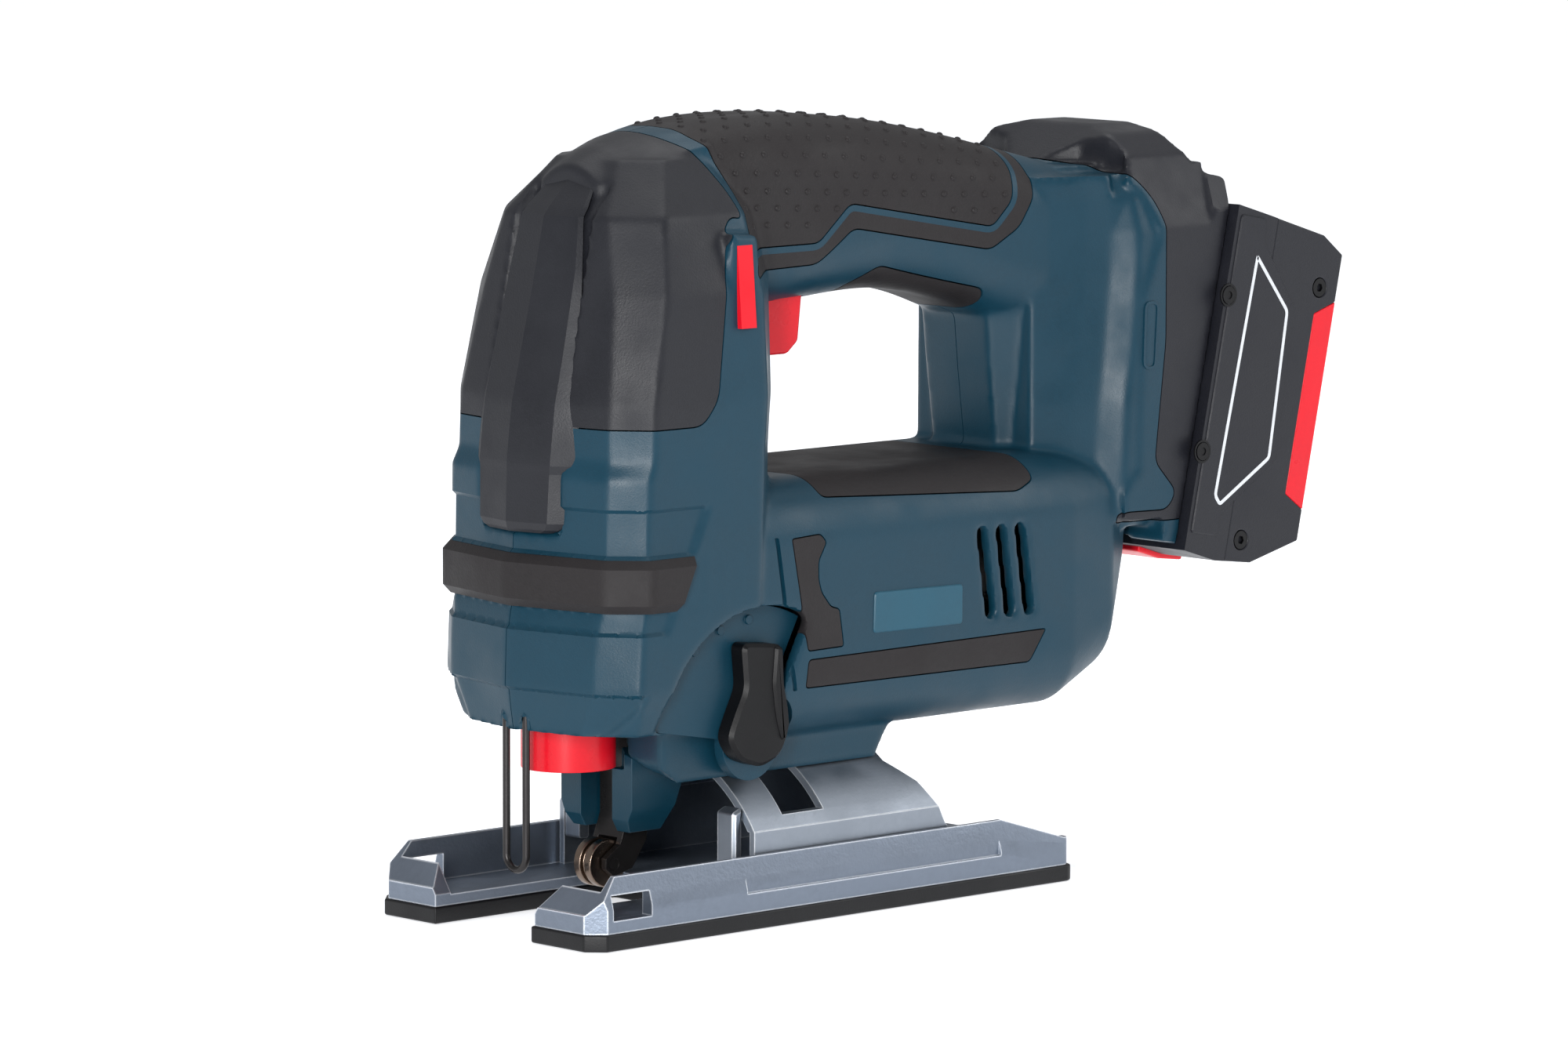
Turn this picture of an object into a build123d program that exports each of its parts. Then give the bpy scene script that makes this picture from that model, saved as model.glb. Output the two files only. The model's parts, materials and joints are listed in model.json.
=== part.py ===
from build123d import *
import os
from math import cos, radians, sin

# Cordless jigsaw with its battery pack fitted, in millimetres.
# +X runs from the nose to the battery, -Y is the left side, +Z is up.
# The origin is the centre of the sole, on the plane that the work lies against.

# ---- driving dimensions ----
BASE_LENGTH = 158.0
BASE_WIDTH = 79.0
BASE_FRONT = -BASE_LENGTH / 2
SHOE_THICKNESS = 4.0
PLATE_TOP = 6.6
RIM_TOP = 17.0
SLOT_HALF = 17.0
SADDLE_RADIUS = 41.0
SADDLE_SHEET = 2.0
GAP = 0.35

WALL = 3.4
PAD_DEPTH = 1.8
HEAD_HALF = 34.6
NOSE_SLOPE = 0.2
MOTOR_HEIGHT = 73.0
GEAR_TEETH = 48
PINION_TEETH = 8
TOOTH_MODULE = 1.0
GEAR_HEIGHT = MOTOR_HEIGHT + (GEAR_TEETH + PINION_TEETH) * TOOTH_MODULE / 2
CRANK_RADIUS = 11.5
PLUNGER_X = -52.0
PLUNGER_RADIUS = 5.0
CLAMP_BOTTOM = 38.0
CLAMP_TOP = 52.0
CLAMP_RADIUS = 7.6
CLAMP_SWEEP = 13.2
ROLLER_X = -42.0
ROLLER_HEIGHT = 13.0
ROLLER_RADIUS = 5.8
LEVER_PIVOT = (-20.1, 42.6)
LEVER_END_RADIUS = 6.8
LEVER_LENGTH = 25.0
LEVER_REACH = 33.0
RECESS_DEPTH = 29.0
FORK_X = -34.0
FORK_PIN_HEIGHT = 54.0
FORK_HALF = 5.0
LEG_HALF = 12.6
GUARD_X = -68.4
GUARD_HALF = 3.5
GUARD_BEND = 17.5
GUARD_TOP = 55.5
LAMP_X = -50.0
LAMP_Y = 18.5
LOCK_X = -26.2
LOCK_LENGTH = 19.4
TRIGGER_X = -4.0
TRIGGER_LENGTH = 19.0
LOCK_HEIGHT = 151.5
KEY_HEIGHT = 48.4
CLAMP_SCREW_X = -6.3
CLAMP_SCREW_RADIUS = 2.4
MOTOR_RADIUS = 20.5
SHAFT_RADIUS = 3.0
RUNNING = 0.04
MOUTH_RADIUS = 14.4
CONTACT_SIDES = (-12, -4, 4, 12)

# The battery slides on a plane that leans back from the vertical.
PACK_LEAN = 12.4
PACK_ORIGIN = (129.0, 124.0)
PACK_DEPTH = 40.5
PACK_HALF = 37.0
LEAN_SIN = sin(radians(PACK_LEAN))
LEAN_COS = cos(radians(PACK_LEAN))
# x is outwards from the interface, y is up along the rails, z is to the left side
pack_plane = Plane(
    origin=(PACK_ORIGIN[0], 0, PACK_ORIGIN[1]),
    x_dir=(LEAN_COS, 0, -LEAN_SIN),
    z_dir=(0, -1, 0),
)
# looking out of the interface: x is the left side, y is up along the rails
rail_plane = Plane(
    origin=(PACK_ORIGIN[0], 0, PACK_ORIGIN[1]),
    x_dir=(0, -1, 0),
    z_dir=(-LEAN_COS, 0, LEAN_SIN),
)
side_plane = Plane.XZ

os.makedirs("parts", exist_ok=True)


def save(builder, name):
    """Labels a finished piece and writes it."""
    builder.part.label = name
    export_step(builder.part, f"parts/{name}.step")


# ---- outer forms of the housing, each drawn with its skin taken in by an inset ----
def head_form(inset):
    """The upright gearbox head: flat sides, a faceted nose and a domed top."""
    levels = (
        # height, front x, nose half width, shoulder x, half width, rear x
        (47.5 + inset, -70.5, 20.0, -58.0, 31.0, -8.0),
        (58.0, -72.0, 25.0, -60.0, HEAD_HALF, -8.0),
        (72.0, -71.5, 25.5, -59.3, HEAD_HALF, -8.0),
        (78.0, -70.5, 27.0, -57.8, HEAD_HALF, -8.0),
        (108.0, -70.0, 27.3, -57.0, HEAD_HALF, -7.0),
        (112.0, -68.4, 26.2, -55.6, HEAD_HALF, -7.0),
        (125.0, -68.0, 26.0, -55.5, HEAD_HALF, -6.0),
        (150.0, -63.0, 22.5, -50.5, 33.0, -6.0),
        (168.0, -59.5, 18.0, -47.0, 28.0, -8.0),
        (181.0 - inset, -48.0, 11.0, -38.0, 18.0, -12.0),
    )
    with BuildPart() as form:
        for height, front, nose, shoulder, half, rear in levels:
            with BuildSketch(Plane.XY.offset(height)):
                with BuildLine():
                    Polyline(
                        (front + inset, 0),
                        (front + NOSE_SLOPE * nose + inset, nose - inset * 0.6),
                        (shoulder + inset * 0.6, half - inset),
                        (rear - 14 - inset * 0.6, half - inset),
                        (rear - inset, half * 0.6 - inset),
                        (rear - inset, 0),
                    )
                    mirror(about=Plane.XZ)
                make_face()
        loft(ruled=True)
    return form.part


def handle_form(inset):
    """The upper handle, a rounded bar that arches from the head to the rear column."""
    stations = (
        # x, underside, top, half width
        (-46.0, 150.0, 181.0, 17.0),
        (-22.0, 146.0, 188.0, 19.5),
        (4.0, 144.0, 189.4, 20.0),
        (38.0, 145.6, 186.6, 19.0),
        (68.0, 139.5, 180.8, 20.0),
        (96.0, 134.0, 174.0, 22.0),
    )
    with BuildPart() as form:
        for x, low, high, half in stations:
            with BuildSketch(Plane(origin=(x, 0, (low + high) / 2), x_dir=(0, 1, 0), z_dir=(1, 0, 0))):
                RectangleRounded(2 * (half - inset), high - low - 2 * inset, 14.0 - inset)
        loft()
    return form.part


def column_form(inset):
    """The rear column, narrow at the finger loop and flared to the battery foot."""
    levels = (
        # height, front x, waist half width
        (84.0 + inset, 90.0, 20.0),
        (104.0, 79.0, 21.0),
        (124.0, 76.5, 21.5),
        (150.0, 74.0, 22.0),
        (173.0 - inset, 86.0, 18.0),
    )
    with BuildPart() as form:
        for height, front, waist in levels:
            rear = PACK_ORIGIN[0] + (height - PACK_ORIGIN[1]) * LEAN_SIN / LEAN_COS - 4.0
            with BuildSketch(Plane.XY.offset(height)):
                with BuildLine():
                    Polyline(
                        (front + inset, 0),
                        (front + inset, waist * 0.52 - inset * 0.5),
                        (front + 9 + inset, waist * 0.88 - inset),
                        (rear - 22, waist + 2 - inset),
                        (rear - 10, waist + 10 - inset),
                        (rear, waist + 10 - inset),
                        (rear, 0),
                    )
                    mirror(about=Plane.XZ)
                make_face()
        loft(ruled=True)
    return form.part


def barrel_form(inset):
    """The motor barrel, a soft square in section that tapers under the column."""
    stations = (
        # x, underside, top, half width
        (-26.0, 41.4, 104.0, 33.6),
        (84.0, 41.4, 104.0, 33.6),
        (99.0, 48.0, 104.0, 32.0),
        (109.0 - inset, 66.0, 101.0, 26.0),
    )
    with BuildPart() as form:
        for x, low, high, half in stations:
            with BuildSketch(Plane(origin=(x, 0, (low + high) / 2), x_dir=(0, 1, 0), z_dir=(1, 0, 0))):
                RectangleRounded(2 * (half - inset), high - low - 2 * inset, 15.0 - inset)
        loft(ruled=True)
    return form.part


def foot_form(inset):
    """The neck under the barrel, which ends in the curved seat on the saddle."""
    with BuildPart() as form:
        with BuildSketch(side_plane):
            with BuildLine():
                Polyline(
                    (-44 + inset, 60), (-44 + inset, 38), (-33 + inset, 30), (24 - inset, 30),
                    (27 - inset, 36), (34 - inset, 47), (34 - inset, 60), close=True,
                )
            make_face()
        extrude(amount=24.0 - inset, both=True)
        with BuildSketch(Plane.YZ):
            Circle(SADDLE_RADIUS + GAP + inset)
        extrude(amount=90, both=True, mode=Mode.SUBTRACT)
    return form.part


def whole_form(inset):
    """The housing's outer shape, joined from its five forms."""
    with BuildPart() as form:
        add(head_form(inset))
        add(handle_form(inset))
        add(column_form(inset))
        add(barrel_form(inset))
        add(foot_form(inset))
    return form.part


def side_region(points, half=60.0):
    """A block through the whole width with the given outline seen from the side."""
    with BuildPart() as region:
        with BuildSketch(side_plane):
            with BuildLine():
                Polyline(*points, close=True)
            make_face()
        extrude(amount=half, both=True)
    return region.part


outer = whole_form(0)
under_skin = whole_form(PAD_DEPTH)
inner = whole_form(WALL)

# ---- soft pads and covers let into the housing's skin ----
cover_outline = (
    (-90, 119.5), (-40.6, 119.5), (-31.9, 127.2), (-29.5, 162), (-23, 165), (-34, 195), (-90, 195),
)
grip_outline = (
    (-33, 195), (-21.5, 165), (-4, 157.3), (12, 157.3), (23.5, 167), (43, 165),
    (72, 159.4), (76, 160), (84, 176), (84, 195),
)
under_outline = ((26, 146.8), (34, 152), (68, 145), (70, 138), (47, 138), (26, 138))
palm_outline = ((2, 110), (2, 99), (66, 96), (73, 98), (73, 110))
stripe_outline = ((-6.6, 54.6), (68.7, 54.1), (74.5, 62.1), (-5.6, 61.6))
patch_outline = ((-11, 91), (0.3, 90.9), (-3.2, 85), (-1.5, 77), (6.8, 70), (6.9, 65), (-5, 65))

pads = {}
for pad_name, outline in (
    ("head_cover", cover_outline),
    ("grip_pad", grip_outline),
    ("handle_under_pad", under_outline),
    ("palm_rest_pad", palm_outline),
    ("side_stripe", stripe_outline),
    ("side_patch", patch_outline),
):
    with BuildPart() as pad:
        add(outer)
        add(under_skin, mode=Mode.SUBTRACT)
        add(side_region(outline), mode=Mode.INTERSECT)
    pads[pad_name] = pad

# a shield down the middle of the nose, standing a little proud of the cover
shield_zone = Pos(-70, 0, 136) * Box(40, 27, 84)
with BuildPart() as front_shield:
    add(head_form(-1.4))
    add(head_form(PAD_DEPTH), mode=Mode.SUBTRACT)
    add(shield_zone, mode=Mode.INTERSECT)
with BuildPart() as head_cover:
    add(pads["head_cover"].part)
    add(shield_zone, mode=Mode.SUBTRACT)
pads["head_cover"] = head_cover

with BuildPart() as bumper_ring:
    with BuildSketch(Plane.XY.offset(77)):
        with BuildLine():
            Polyline((-72.6, 0), (-66.6, 28.6), (-58.0, 36.6), (-40, 36.6), (-40, 0))
            mirror(about=Plane.XZ)
        make_face()
    extrude(amount=12.5)
    add(head_form(PAD_DEPTH), mode=Mode.SUBTRACT)
    with Locations((-40, 0, 83)):
        Box(30, 60, 30, align=(Align.MIN, Align.CENTER, Align.CENTER), mode=Mode.SUBTRACT)

# ---- left and right halves of the housing ----
# x, height and depth of each screw's head on the right side
SCREW_PLACES = ((-24, 66, 32.0), (-14, 150, 25.0), (98, 158, 19.0), (90, 92, 31.0))
gear_space = Pos(-38, 0, GEAR_HEIGHT) * Rot(0, 90, 0) * Cylinder(27.5, 22)
vent_outline = ((50.5, 88.5), (54.0, 88.5), (57.5, 66.0), (54.0, 66.0))


def lever_fan(near, far, radius, tip):
    """The fan that the orbital lever sweeps on the left side, between two depths."""
    x, z = LEVER_PIVOT
    corners = [(x + tip * cos(radians(turn)), z + tip * sin(radians(turn))) for turn in (62, 116, 170)]
    with BuildPart() as fan:
        with BuildSketch(side_plane.offset(near)):
            with BuildLine():
                Line((x, z), corners[0])
                ThreePointArc(*corners)
                Line(corners[2], (x, z))
            make_face()
            with Locations((x, z)):
                Circle(radius)
        extrude(amount=far - near)
    return fan.part


with BuildPart() as housing:
    add(outer)
    add(inner, mode=Mode.SUBTRACT)
    add(gear_space, mode=Mode.SUBTRACT)
    for pad in pads.values():
        add(pad.part, mode=Mode.SUBTRACT)
    add(bumper_ring.part, mode=Mode.SUBTRACT)
    add(front_shield.part, mode=Mode.SUBTRACT)
    # the mouth under the head, where the plunger and blade clamp move
    with BuildSketch(Plane.XY.offset(40)):
        with Locations((PLUNGER_X, 0)):
            Circle(MOUTH_RADIUS)
    extrude(amount=18, mode=Mode.SUBTRACT)
    # the slot that the roller's fork comes down through
    with Locations((FORK_X - 1.5, 0, 46)):
        Box(15, 2 * FORK_HALF + 1, 36, mode=Mode.SUBTRACT)
    # the rear is open to the battery foot
    with BuildSketch(pack_plane):
        with Locations((-5.5, 0)):
            Rectangle(30, 400, align=(Align.MIN, Align.CENTER))
    extrude(amount=80, both=True, mode=Mode.SUBTRACT)
    # slanted air vents, three on each side
    for shift in (0, 6.5, 13):
        with BuildSketch(side_plane):
            with BuildLine():
                Polyline(*[(x + shift, z) for x, z in vent_outline], close=True)
            make_face()
        extrude(amount=60, both=True, mode=Mode.SUBTRACT)
    # pocket for the trigger, under the front of the handle
    with Locations((TRIGGER_X + TRIGGER_LENGTH / 2, 0, 139)):
        Box(TRIGGER_LENGTH + 1.5, 20.5, 30, mode=Mode.SUBTRACT)
    # passage for the lock button, right through the head
    with Locations((LOCK_X, 0, LOCK_HEIGHT)):
        Box(5.4, 90, LOCK_LENGTH + 1, mode=Mode.SUBTRACT)
    # recess in the left side for the orbital lever and its dial
    add(lever_fan(RECESS_DEPTH - 3.2, 60, LEVER_END_RADIUS + 2.5, LEVER_REACH), mode=Mode.SUBTRACT)
    with Locations((LEVER_PIVOT[0], -20, LEVER_PIVOT[1])):
        Cylinder(3.4, 20, rotation=(90, 0, 0), mode=Mode.SUBTRACT)
    with Locations((LEVER_PIVOT[0], -25, LEVER_PIVOT[1])):
        Cylinder(5.0, 2.4, rotation=(90, 0, 0), mode=Mode.SUBTRACT)
    # sockets for the guard wire, the lamp, the clamp screw and the hex key
    with Locations((GUARD_X, GUARD_HALF, 50), (GUARD_X, -GUARD_HALF, 50)):
        Cylinder(1.0, 12, mode=Mode.SUBTRACT)
    with Locations((LAMP_X, LAMP_Y, 50)):
        Cylinder(2.2, 16, mode=Mode.SUBTRACT)
    with Locations((CLAMP_SCREW_X, 0, 46)):
        Cylinder(3.1, 20, mode=Mode.SUBTRACT)
    with Locations((100, 0, KEY_HEIGHT)):
        Cylinder(3.4, 34, rotation=(0, 90, 0), mode=Mode.SUBTRACT)
    for x, height, depth in SCREW_PLACES:
        with BuildSketch(side_plane.offset(-60)):
            with Locations((x, height)):
                Circle(2.6)
        extrude(amount=60 - depth + 14.5, mode=Mode.SUBTRACT)

halves = {}
for half_name, side in (("housing_left", Keep.BOTTOM), ("housing_right", Keep.TOP)):
    with BuildPart() as half:
        add(housing.part)
        split(bisect_by=Plane(origin=(0, 0, 0), x_dir=(1, 0, 0), z_dir=(0, 1, 0)), keep=side)
    halves[half_name] = half

for part_name, builder in (*pads.items(), *halves.items()):
    save(builder, part_name)
save(bumper_ring, "bumper_ring")
save(front_shield, "front_shield")

# ---- battery foot: the dark frame round the housing's open rear ----
# x and height seen from the side, along the hood and down the two flanks
foot_outline = (
    (92, 170), (104, 177.4), (112, 182.5), (125.5, 182.5), (137, 160), (121.4, 89.3), (117.4, 85.8),
    (103.5, 85.9), (96, 89), (106.2, 98.3), (107.1, 140.9), (113, 156), (110, 166), (104, 170),
)
CHANNEL_HALF = 22.0
CHANNEL_DEPTH = 5.0
CHANNEL_TOP = 28.0
LIP_HALF = 18.4
LIP_DEPTH = 2.0


def rail_block(low, high, half, near, far):
    """A block on the rail plane, between two heights and two depths behind the interface."""
    with BuildPart() as block:
        with BuildSketch(rail_plane.offset(near)):
            with Locations((0, (low + high) / 2)):
                Rectangle(2 * half, high - low)
        extrude(amount=far - near)
    return block.part


with BuildPart() as battery_foot:
    add(side_region(foot_outline, 34.5))
    add(rail_block(-46, 46, 34.5, 0, 5.4))
    with BuildSketch(Plane.YZ):
        with BuildLine():
            Polyline((0, 84), (34.5, 84), (34.5, 158), (27, 175), (20, 180.5), (9, 183), (0, 183))
            mirror(about=Plane.YZ)
        make_face()
    extrude(amount=200, mode=Mode.INTERSECT)
    # the hood comes forward to a blunt point in the middle
    with BuildSketch(Plane.XY.offset(80)):
        with BuildLine():
            Polyline((93, 0), (106, 13), (109, 25), (100, 34.5), (150, 34.5), (150, 0))
            mirror(about=Plane.XZ)
        make_face()
    extrude(amount=120, mode=Mode.INTERSECT)
    add(column_form(0), mode=Mode.SUBTRACT)
    add(handle_form(0), mode=Mode.SUBTRACT)
    add(barrel_form(0), mode=Mode.SUBTRACT)
    add(rail_block(-46, 46, 34.5, 0, 5.4))
    with BuildSketch(pack_plane):
        Rectangle(60, 400, align=(Align.MIN, Align.CENTER))
    extrude(amount=80, both=True, mode=Mode.SUBTRACT)
    add(rail_block(-70, CHANNEL_TOP, CHANNEL_HALF, LIP_DEPTH, CHANNEL_DEPTH), mode=Mode.SUBTRACT)
    add(rail_block(-70, CHANNEL_TOP, LIP_HALF, 0, LIP_DEPTH), mode=Mode.SUBTRACT)
    with BuildSketch(rail_plane.offset(1.0)):
        with Locations(*[(side, 18) for side in CONTACT_SIDES]):
            Rectangle(1.4, 15)
    extrude(amount=6, mode=Mode.SUBTRACT)
save(battery_foot, "battery_foot")

# ---- base plate assembly ----
def plate_outline(inset):
    """The base's plan: clipped front corners and the open blade slot."""
    with BuildSketch() as plan:
        Rectangle(BASE_LENGTH - 2 * inset, BASE_WIDTH - 2 * inset)
        chamfer(plan.vertices().group_by(Axis.X)[0], 4.0)
        fillet(plan.vertices().group_by(Axis.X)[-1], 3.0)
        with Locations((BASE_FRONT, 0)):
            Rectangle(57, 2 * (SLOT_HALF + inset), align=(Align.MIN, Align.CENTER), mode=Mode.SUBTRACT)
    return plan.sketch


with BuildPart() as glide_shoe:
    with BuildSketch():
        add(plate_outline(0))
    extrude(amount=SHOE_THICKNESS)
save(glide_shoe, "glide_shoe")

RIM_INSIDE = 35.4
FENCE_X = -66.5
FENCE_HEIGHT = 9.9
FENCE_LENGTH = 12.0
FENCE_TALL = 5.8
NOSE_REAR = -73.5
DECK_FRONT = 46.0
DECK_TOP = 9.0
with BuildPart() as base_plate:
    with BuildSketch(Plane.XY.offset(SHOE_THICKNESS)):
        add(plate_outline(0.7))
    extrude(amount=RIM_TOP - SHOE_THICKNESS)
    # sloping flanks
    with BuildSketch(Plane.YZ.offset(-90)):
        with BuildLine():
            Polyline((0, 0), (40, 0), (40, 7.5), (38.8, 9.5), (36.6, RIM_TOP), (0, RIM_TOP))
            mirror(about=Plane.YZ)
        make_face()
    extrude(amount=180, mode=Mode.INTERSECT)
    # nose and tail slopes, seen from the side
    with BuildSketch(side_plane):
        with BuildLine():
            Polyline(
                (-80, 0), (-80, 8), (-78, 8.5), (-70.5, RIM_TOP), (56, RIM_TOP), (76, 10.8),
                (80, 10.6), (80, 0), close=True,
            )
        make_face()
    extrude(amount=60, both=True, mode=Mode.INTERSECT)
    # the tray between the flanks, with a solid nose and a low rear deck
    with BuildSketch(Plane.XY.offset(PLATE_TOP)):
        with Locations((NOSE_REAR, 0)):
            Rectangle(DECK_FRONT - NOSE_REAR, 2 * RIM_INSIDE, align=(Align.MIN, Align.CENTER))
    extrude(amount=20, mode=Mode.SUBTRACT)
    with BuildSketch(Plane.XY.offset(DECK_TOP)):
        with Locations((DECK_FRONT - 1, 0)):
            Rectangle(60, 2 * RIM_INSIDE, align=(Align.MIN, Align.CENTER))
    extrude(amount=20, mode=Mode.SUBTRACT)
    # the inner faces of the two noses lean outwards
    with BuildSketch(Plane.YZ.offset(-90)):
        with BuildLine():
            Polyline(
                (0, PLATE_TOP), (SLOT_HALF + 0.5, PLATE_TOP), (SLOT_HALF + 8, RIM_TOP + 1), (0, RIM_TOP + 1),
            )
            mirror(about=Plane.YZ)
        make_face()
    extrude(amount=40, mode=Mode.SUBTRACT)
    # windows for a parallel fence, one through each flank
    with Locations((FENCE_X, 0, FENCE_HEIGHT)):
        Box(FENCE_LENGTH, 100, FENCE_TALL, mode=Mode.SUBTRACT)
    # shallow panels along the flanks
    with BuildSketch(Plane.XZ.offset(-60)):
        with Locations((12, 11.2)):
            Rectangle(84, 5.0)
    extrude(amount=22.0, mode=Mode.SUBTRACT)
    with BuildSketch(Plane.XZ.offset(38.0)):
        with Locations((12, 11.2)):
            Rectangle(84, 5.0)
    extrude(amount=22.0, mode=Mode.SUBTRACT)
save(base_plate, "base_plate")

SADDLE_FRONT = -24.0
SADDLE_REAR = 42.0
END_WALL_HALF = 33.0
# the sloping wall that closes the saddle's rear end
with BuildPart() as end_wall:
    with BuildSketch(side_plane):
        with BuildLine():
            Polyline(
                (26, 42), (26, 33), (32, 28), (37, 18), (42, 9), (44.4, 9),
                (39, 18), (34, 28), (28, 33), (28, 42), close=True,
            )
        make_face()
    extrude(amount=END_WALL_HALF, both=True)
    with BuildSketch(Plane.YZ):
        Circle(SADDLE_RADIUS - SADDLE_SHEET / 2)
    extrude(amount=60, mode=Mode.INTERSECT)

with BuildPart() as saddle:
    with BuildSketch(Plane.YZ.offset(SADDLE_FRONT)):
        Circle(SADDLE_RADIUS)
        Circle(SADDLE_RADIUS - SADDLE_SHEET, mode=Mode.SUBTRACT)
        with Locations((0, 22.0)):
            Rectangle(100, 40, align=(Align.CENTER, Align.MIN), mode=Mode.INTERSECT)
        with Locations((33.75, PLATE_TOP), (-33.75, PLATE_TOP)):
            Rectangle(1.7, 15.6, align=(Align.CENTER, Align.MIN))
    extrude(amount=SADDLE_REAR - SADDLE_FRONT)
    # the rear end is cut back in a slope
    with BuildSketch(side_plane):
        with BuildLine():
            Polyline((28, 45), (28, 33), (34, 28), (39, 18), (44, 12), (60, 12), (60, 45), close=True)
        make_face()
    extrude(amount=60, both=True, mode=Mode.SUBTRACT)
    # slot across the saddle for the clamp screw, and a wider window at each end of it
    with Locations((CLAMP_SCREW_X, 0, 38)):
        Box(7.0, 50, 12, mode=Mode.SUBTRACT)
    with Locations((CLAMP_SCREW_X, 0, 29.7)):
        Box(13.4, 90, 9.2, mode=Mode.SUBTRACT)
    add(end_wall.part)
save(saddle, "saddle")

with BuildPart() as clamp_screw:
    with BuildSketch(Plane.XY.offset(34.6)):
        with Locations((CLAMP_SCREW_X, 0)):
            Circle(5.0)
            RegularPolygon(2.6, 6, mode=Mode.SUBTRACT)
    extrude(amount=3.5)
    with BuildSketch(Plane.XY.offset(37.0)):
        with Locations((CLAMP_SCREW_X, 0)):
            Circle(CLAMP_SCREW_RADIUS)
    extrude(amount=15.5)
save(clamp_screw, "clamp_screw")

# ---- guides under the head ----
with BuildPart() as fork_legs:
    with BuildSketch(Plane.YZ.offset(-44)):
        with BuildLine():
            Polyline(
                (FORK_HALF + 0.5, 45), (FORK_HALF + 0.5, 21), (10, 21), (LEG_HALF, 27), (LEG_HALF, 45),
                close=True,
            )
        make_face()
        mirror(about=Plane.YZ)
    extrude(amount=18)
    with BuildSketch(side_plane):
        with BuildLine():
            Polyline((-43.2, 45), (-43.2, 24), (-41.5, 21), (-31.5, 21), (-27, 32), (-27, 45), close=True)
        make_face()
    extrude(amount=40, both=True, mode=Mode.INTERSECT)
    with BuildSketch(Plane.YZ.offset(-60)):
        Circle(SADDLE_RADIUS + GAP - 0.05)
    extrude(amount=60, mode=Mode.INTERSECT)
    # room for the clamp lever to turn
    with Locations((PLUNGER_X, 0, CLAMP_BOTTOM - 1.6)):
        Cylinder(CLAMP_SWEEP, 20, align=(Align.CENTER, Align.CENTER, Align.MIN), mode=Mode.SUBTRACT)
save(fork_legs, "fork_legs")

with BuildPart() as roller_fork:
    with BuildSketch(side_plane):
        with BuildLine():
            Polyline(
                (-44.5, 12), (-42, 10), (-36, 11.5), (-31.5, 18), (-30.5, 26), (-30.5, 58), (-37.5, 58),
                (-37.5, 24), (-40, 17.5), (-44.5, 14.5), close=True,
            )
        make_face()
    extrude(amount=FORK_HALF, both=True)
    with Locations((ROLLER_X, 0, ROLLER_HEIGHT)):
        Cylinder(ROLLER_RADIUS + 0.7, 6.6, rotation=(90, 0, 0), mode=Mode.SUBTRACT)
        Cylinder(1.53, 20, rotation=(90, 0, 0), mode=Mode.SUBTRACT)
    with Locations((FORK_X, 0, FORK_PIN_HEIGHT)):
        Cylinder(2.04, 20, rotation=(90, 0, 0), mode=Mode.SUBTRACT)
save(roller_fork, "roller_fork")

with BuildPart() as roller:
    with BuildSketch(side_plane.offset(-3.0)):
        with Locations((ROLLER_X, ROLLER_HEIGHT)):
            Circle(ROLLER_RADIUS)
            Circle(1.54, mode=Mode.SUBTRACT)
    extrude(amount=6.0)
    with BuildSketch(side_plane.offset(-0.7)):
        with Locations((ROLLER_X, ROLLER_HEIGHT)):
            Circle(ROLLER_RADIUS + 1)
            Circle(ROLLER_RADIUS - 1.2, mode=Mode.SUBTRACT)
    extrude(amount=1.4, mode=Mode.SUBTRACT)
save(roller, "roller")

with BuildPart() as roller_pin:
    with Locations((ROLLER_X, 0, ROLLER_HEIGHT)):
        Cylinder(1.5, 2 * FORK_HALF, rotation=(90, 0, 0))
save(roller_pin, "roller_pin")

with BuildPart() as fork_pin:
    with Locations((FORK_X, 0, FORK_PIN_HEIGHT)):
        Cylinder(2.0, 26, rotation=(90, 0, 0))
save(fork_pin, "fork_pin")

with BuildPart() as guard_wire:
    with BuildLine() as wire_path:
        Line((GUARD_X, -GUARD_HALF, GUARD_TOP), (GUARD_X, -GUARD_HALF, GUARD_BEND))
        ThreePointArc(
            (GUARD_X, -GUARD_HALF, GUARD_BEND),
            (GUARD_X, 0, GUARD_BEND - GUARD_HALF),
            (GUARD_X, GUARD_HALF, GUARD_BEND),
        )
        Line((GUARD_X, GUARD_HALF, GUARD_BEND), (GUARD_X, GUARD_HALF, GUARD_TOP))
    with BuildSketch(Plane.XY.offset(GUARD_TOP)):
        with Locations((GUARD_X, -GUARD_HALF)):
            Circle(0.9)
    sweep()
save(guard_wire, "guard_wire")

with BuildPart() as work_lamp:
    with Locations((LAMP_X, LAMP_Y, 46.6)):
        Cylinder(2.1, 8, align=(Align.CENTER, Align.CENTER, Align.MIN))
save(work_lamp, "work_lamp")

# ---- orbital lever ----
with BuildPart() as orbital_dial:
    add(lever_fan(RECESS_DEPTH - 3.0, RECESS_DEPTH, LEVER_END_RADIUS + 2.2, LEVER_REACH - 0.3))
    with Locations((LEVER_PIVOT[0], -RECESS_DEPTH, LEVER_PIVOT[1])):
        Cylinder(SHAFT_RADIUS + RUNNING, 20, rotation=(90, 0, 0), mode=Mode.SUBTRACT)
    with BuildSketch(side_plane.offset(RECESS_DEPTH)):
        with Locations(LEVER_PIVOT):
            with PolarLocations(29.5, 4, start_angle=92, angular_range=54, endpoint=True):
                Circle(1.1)
    extrude(amount=0.6)
save(orbital_dial, "orbital_dial")

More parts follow.
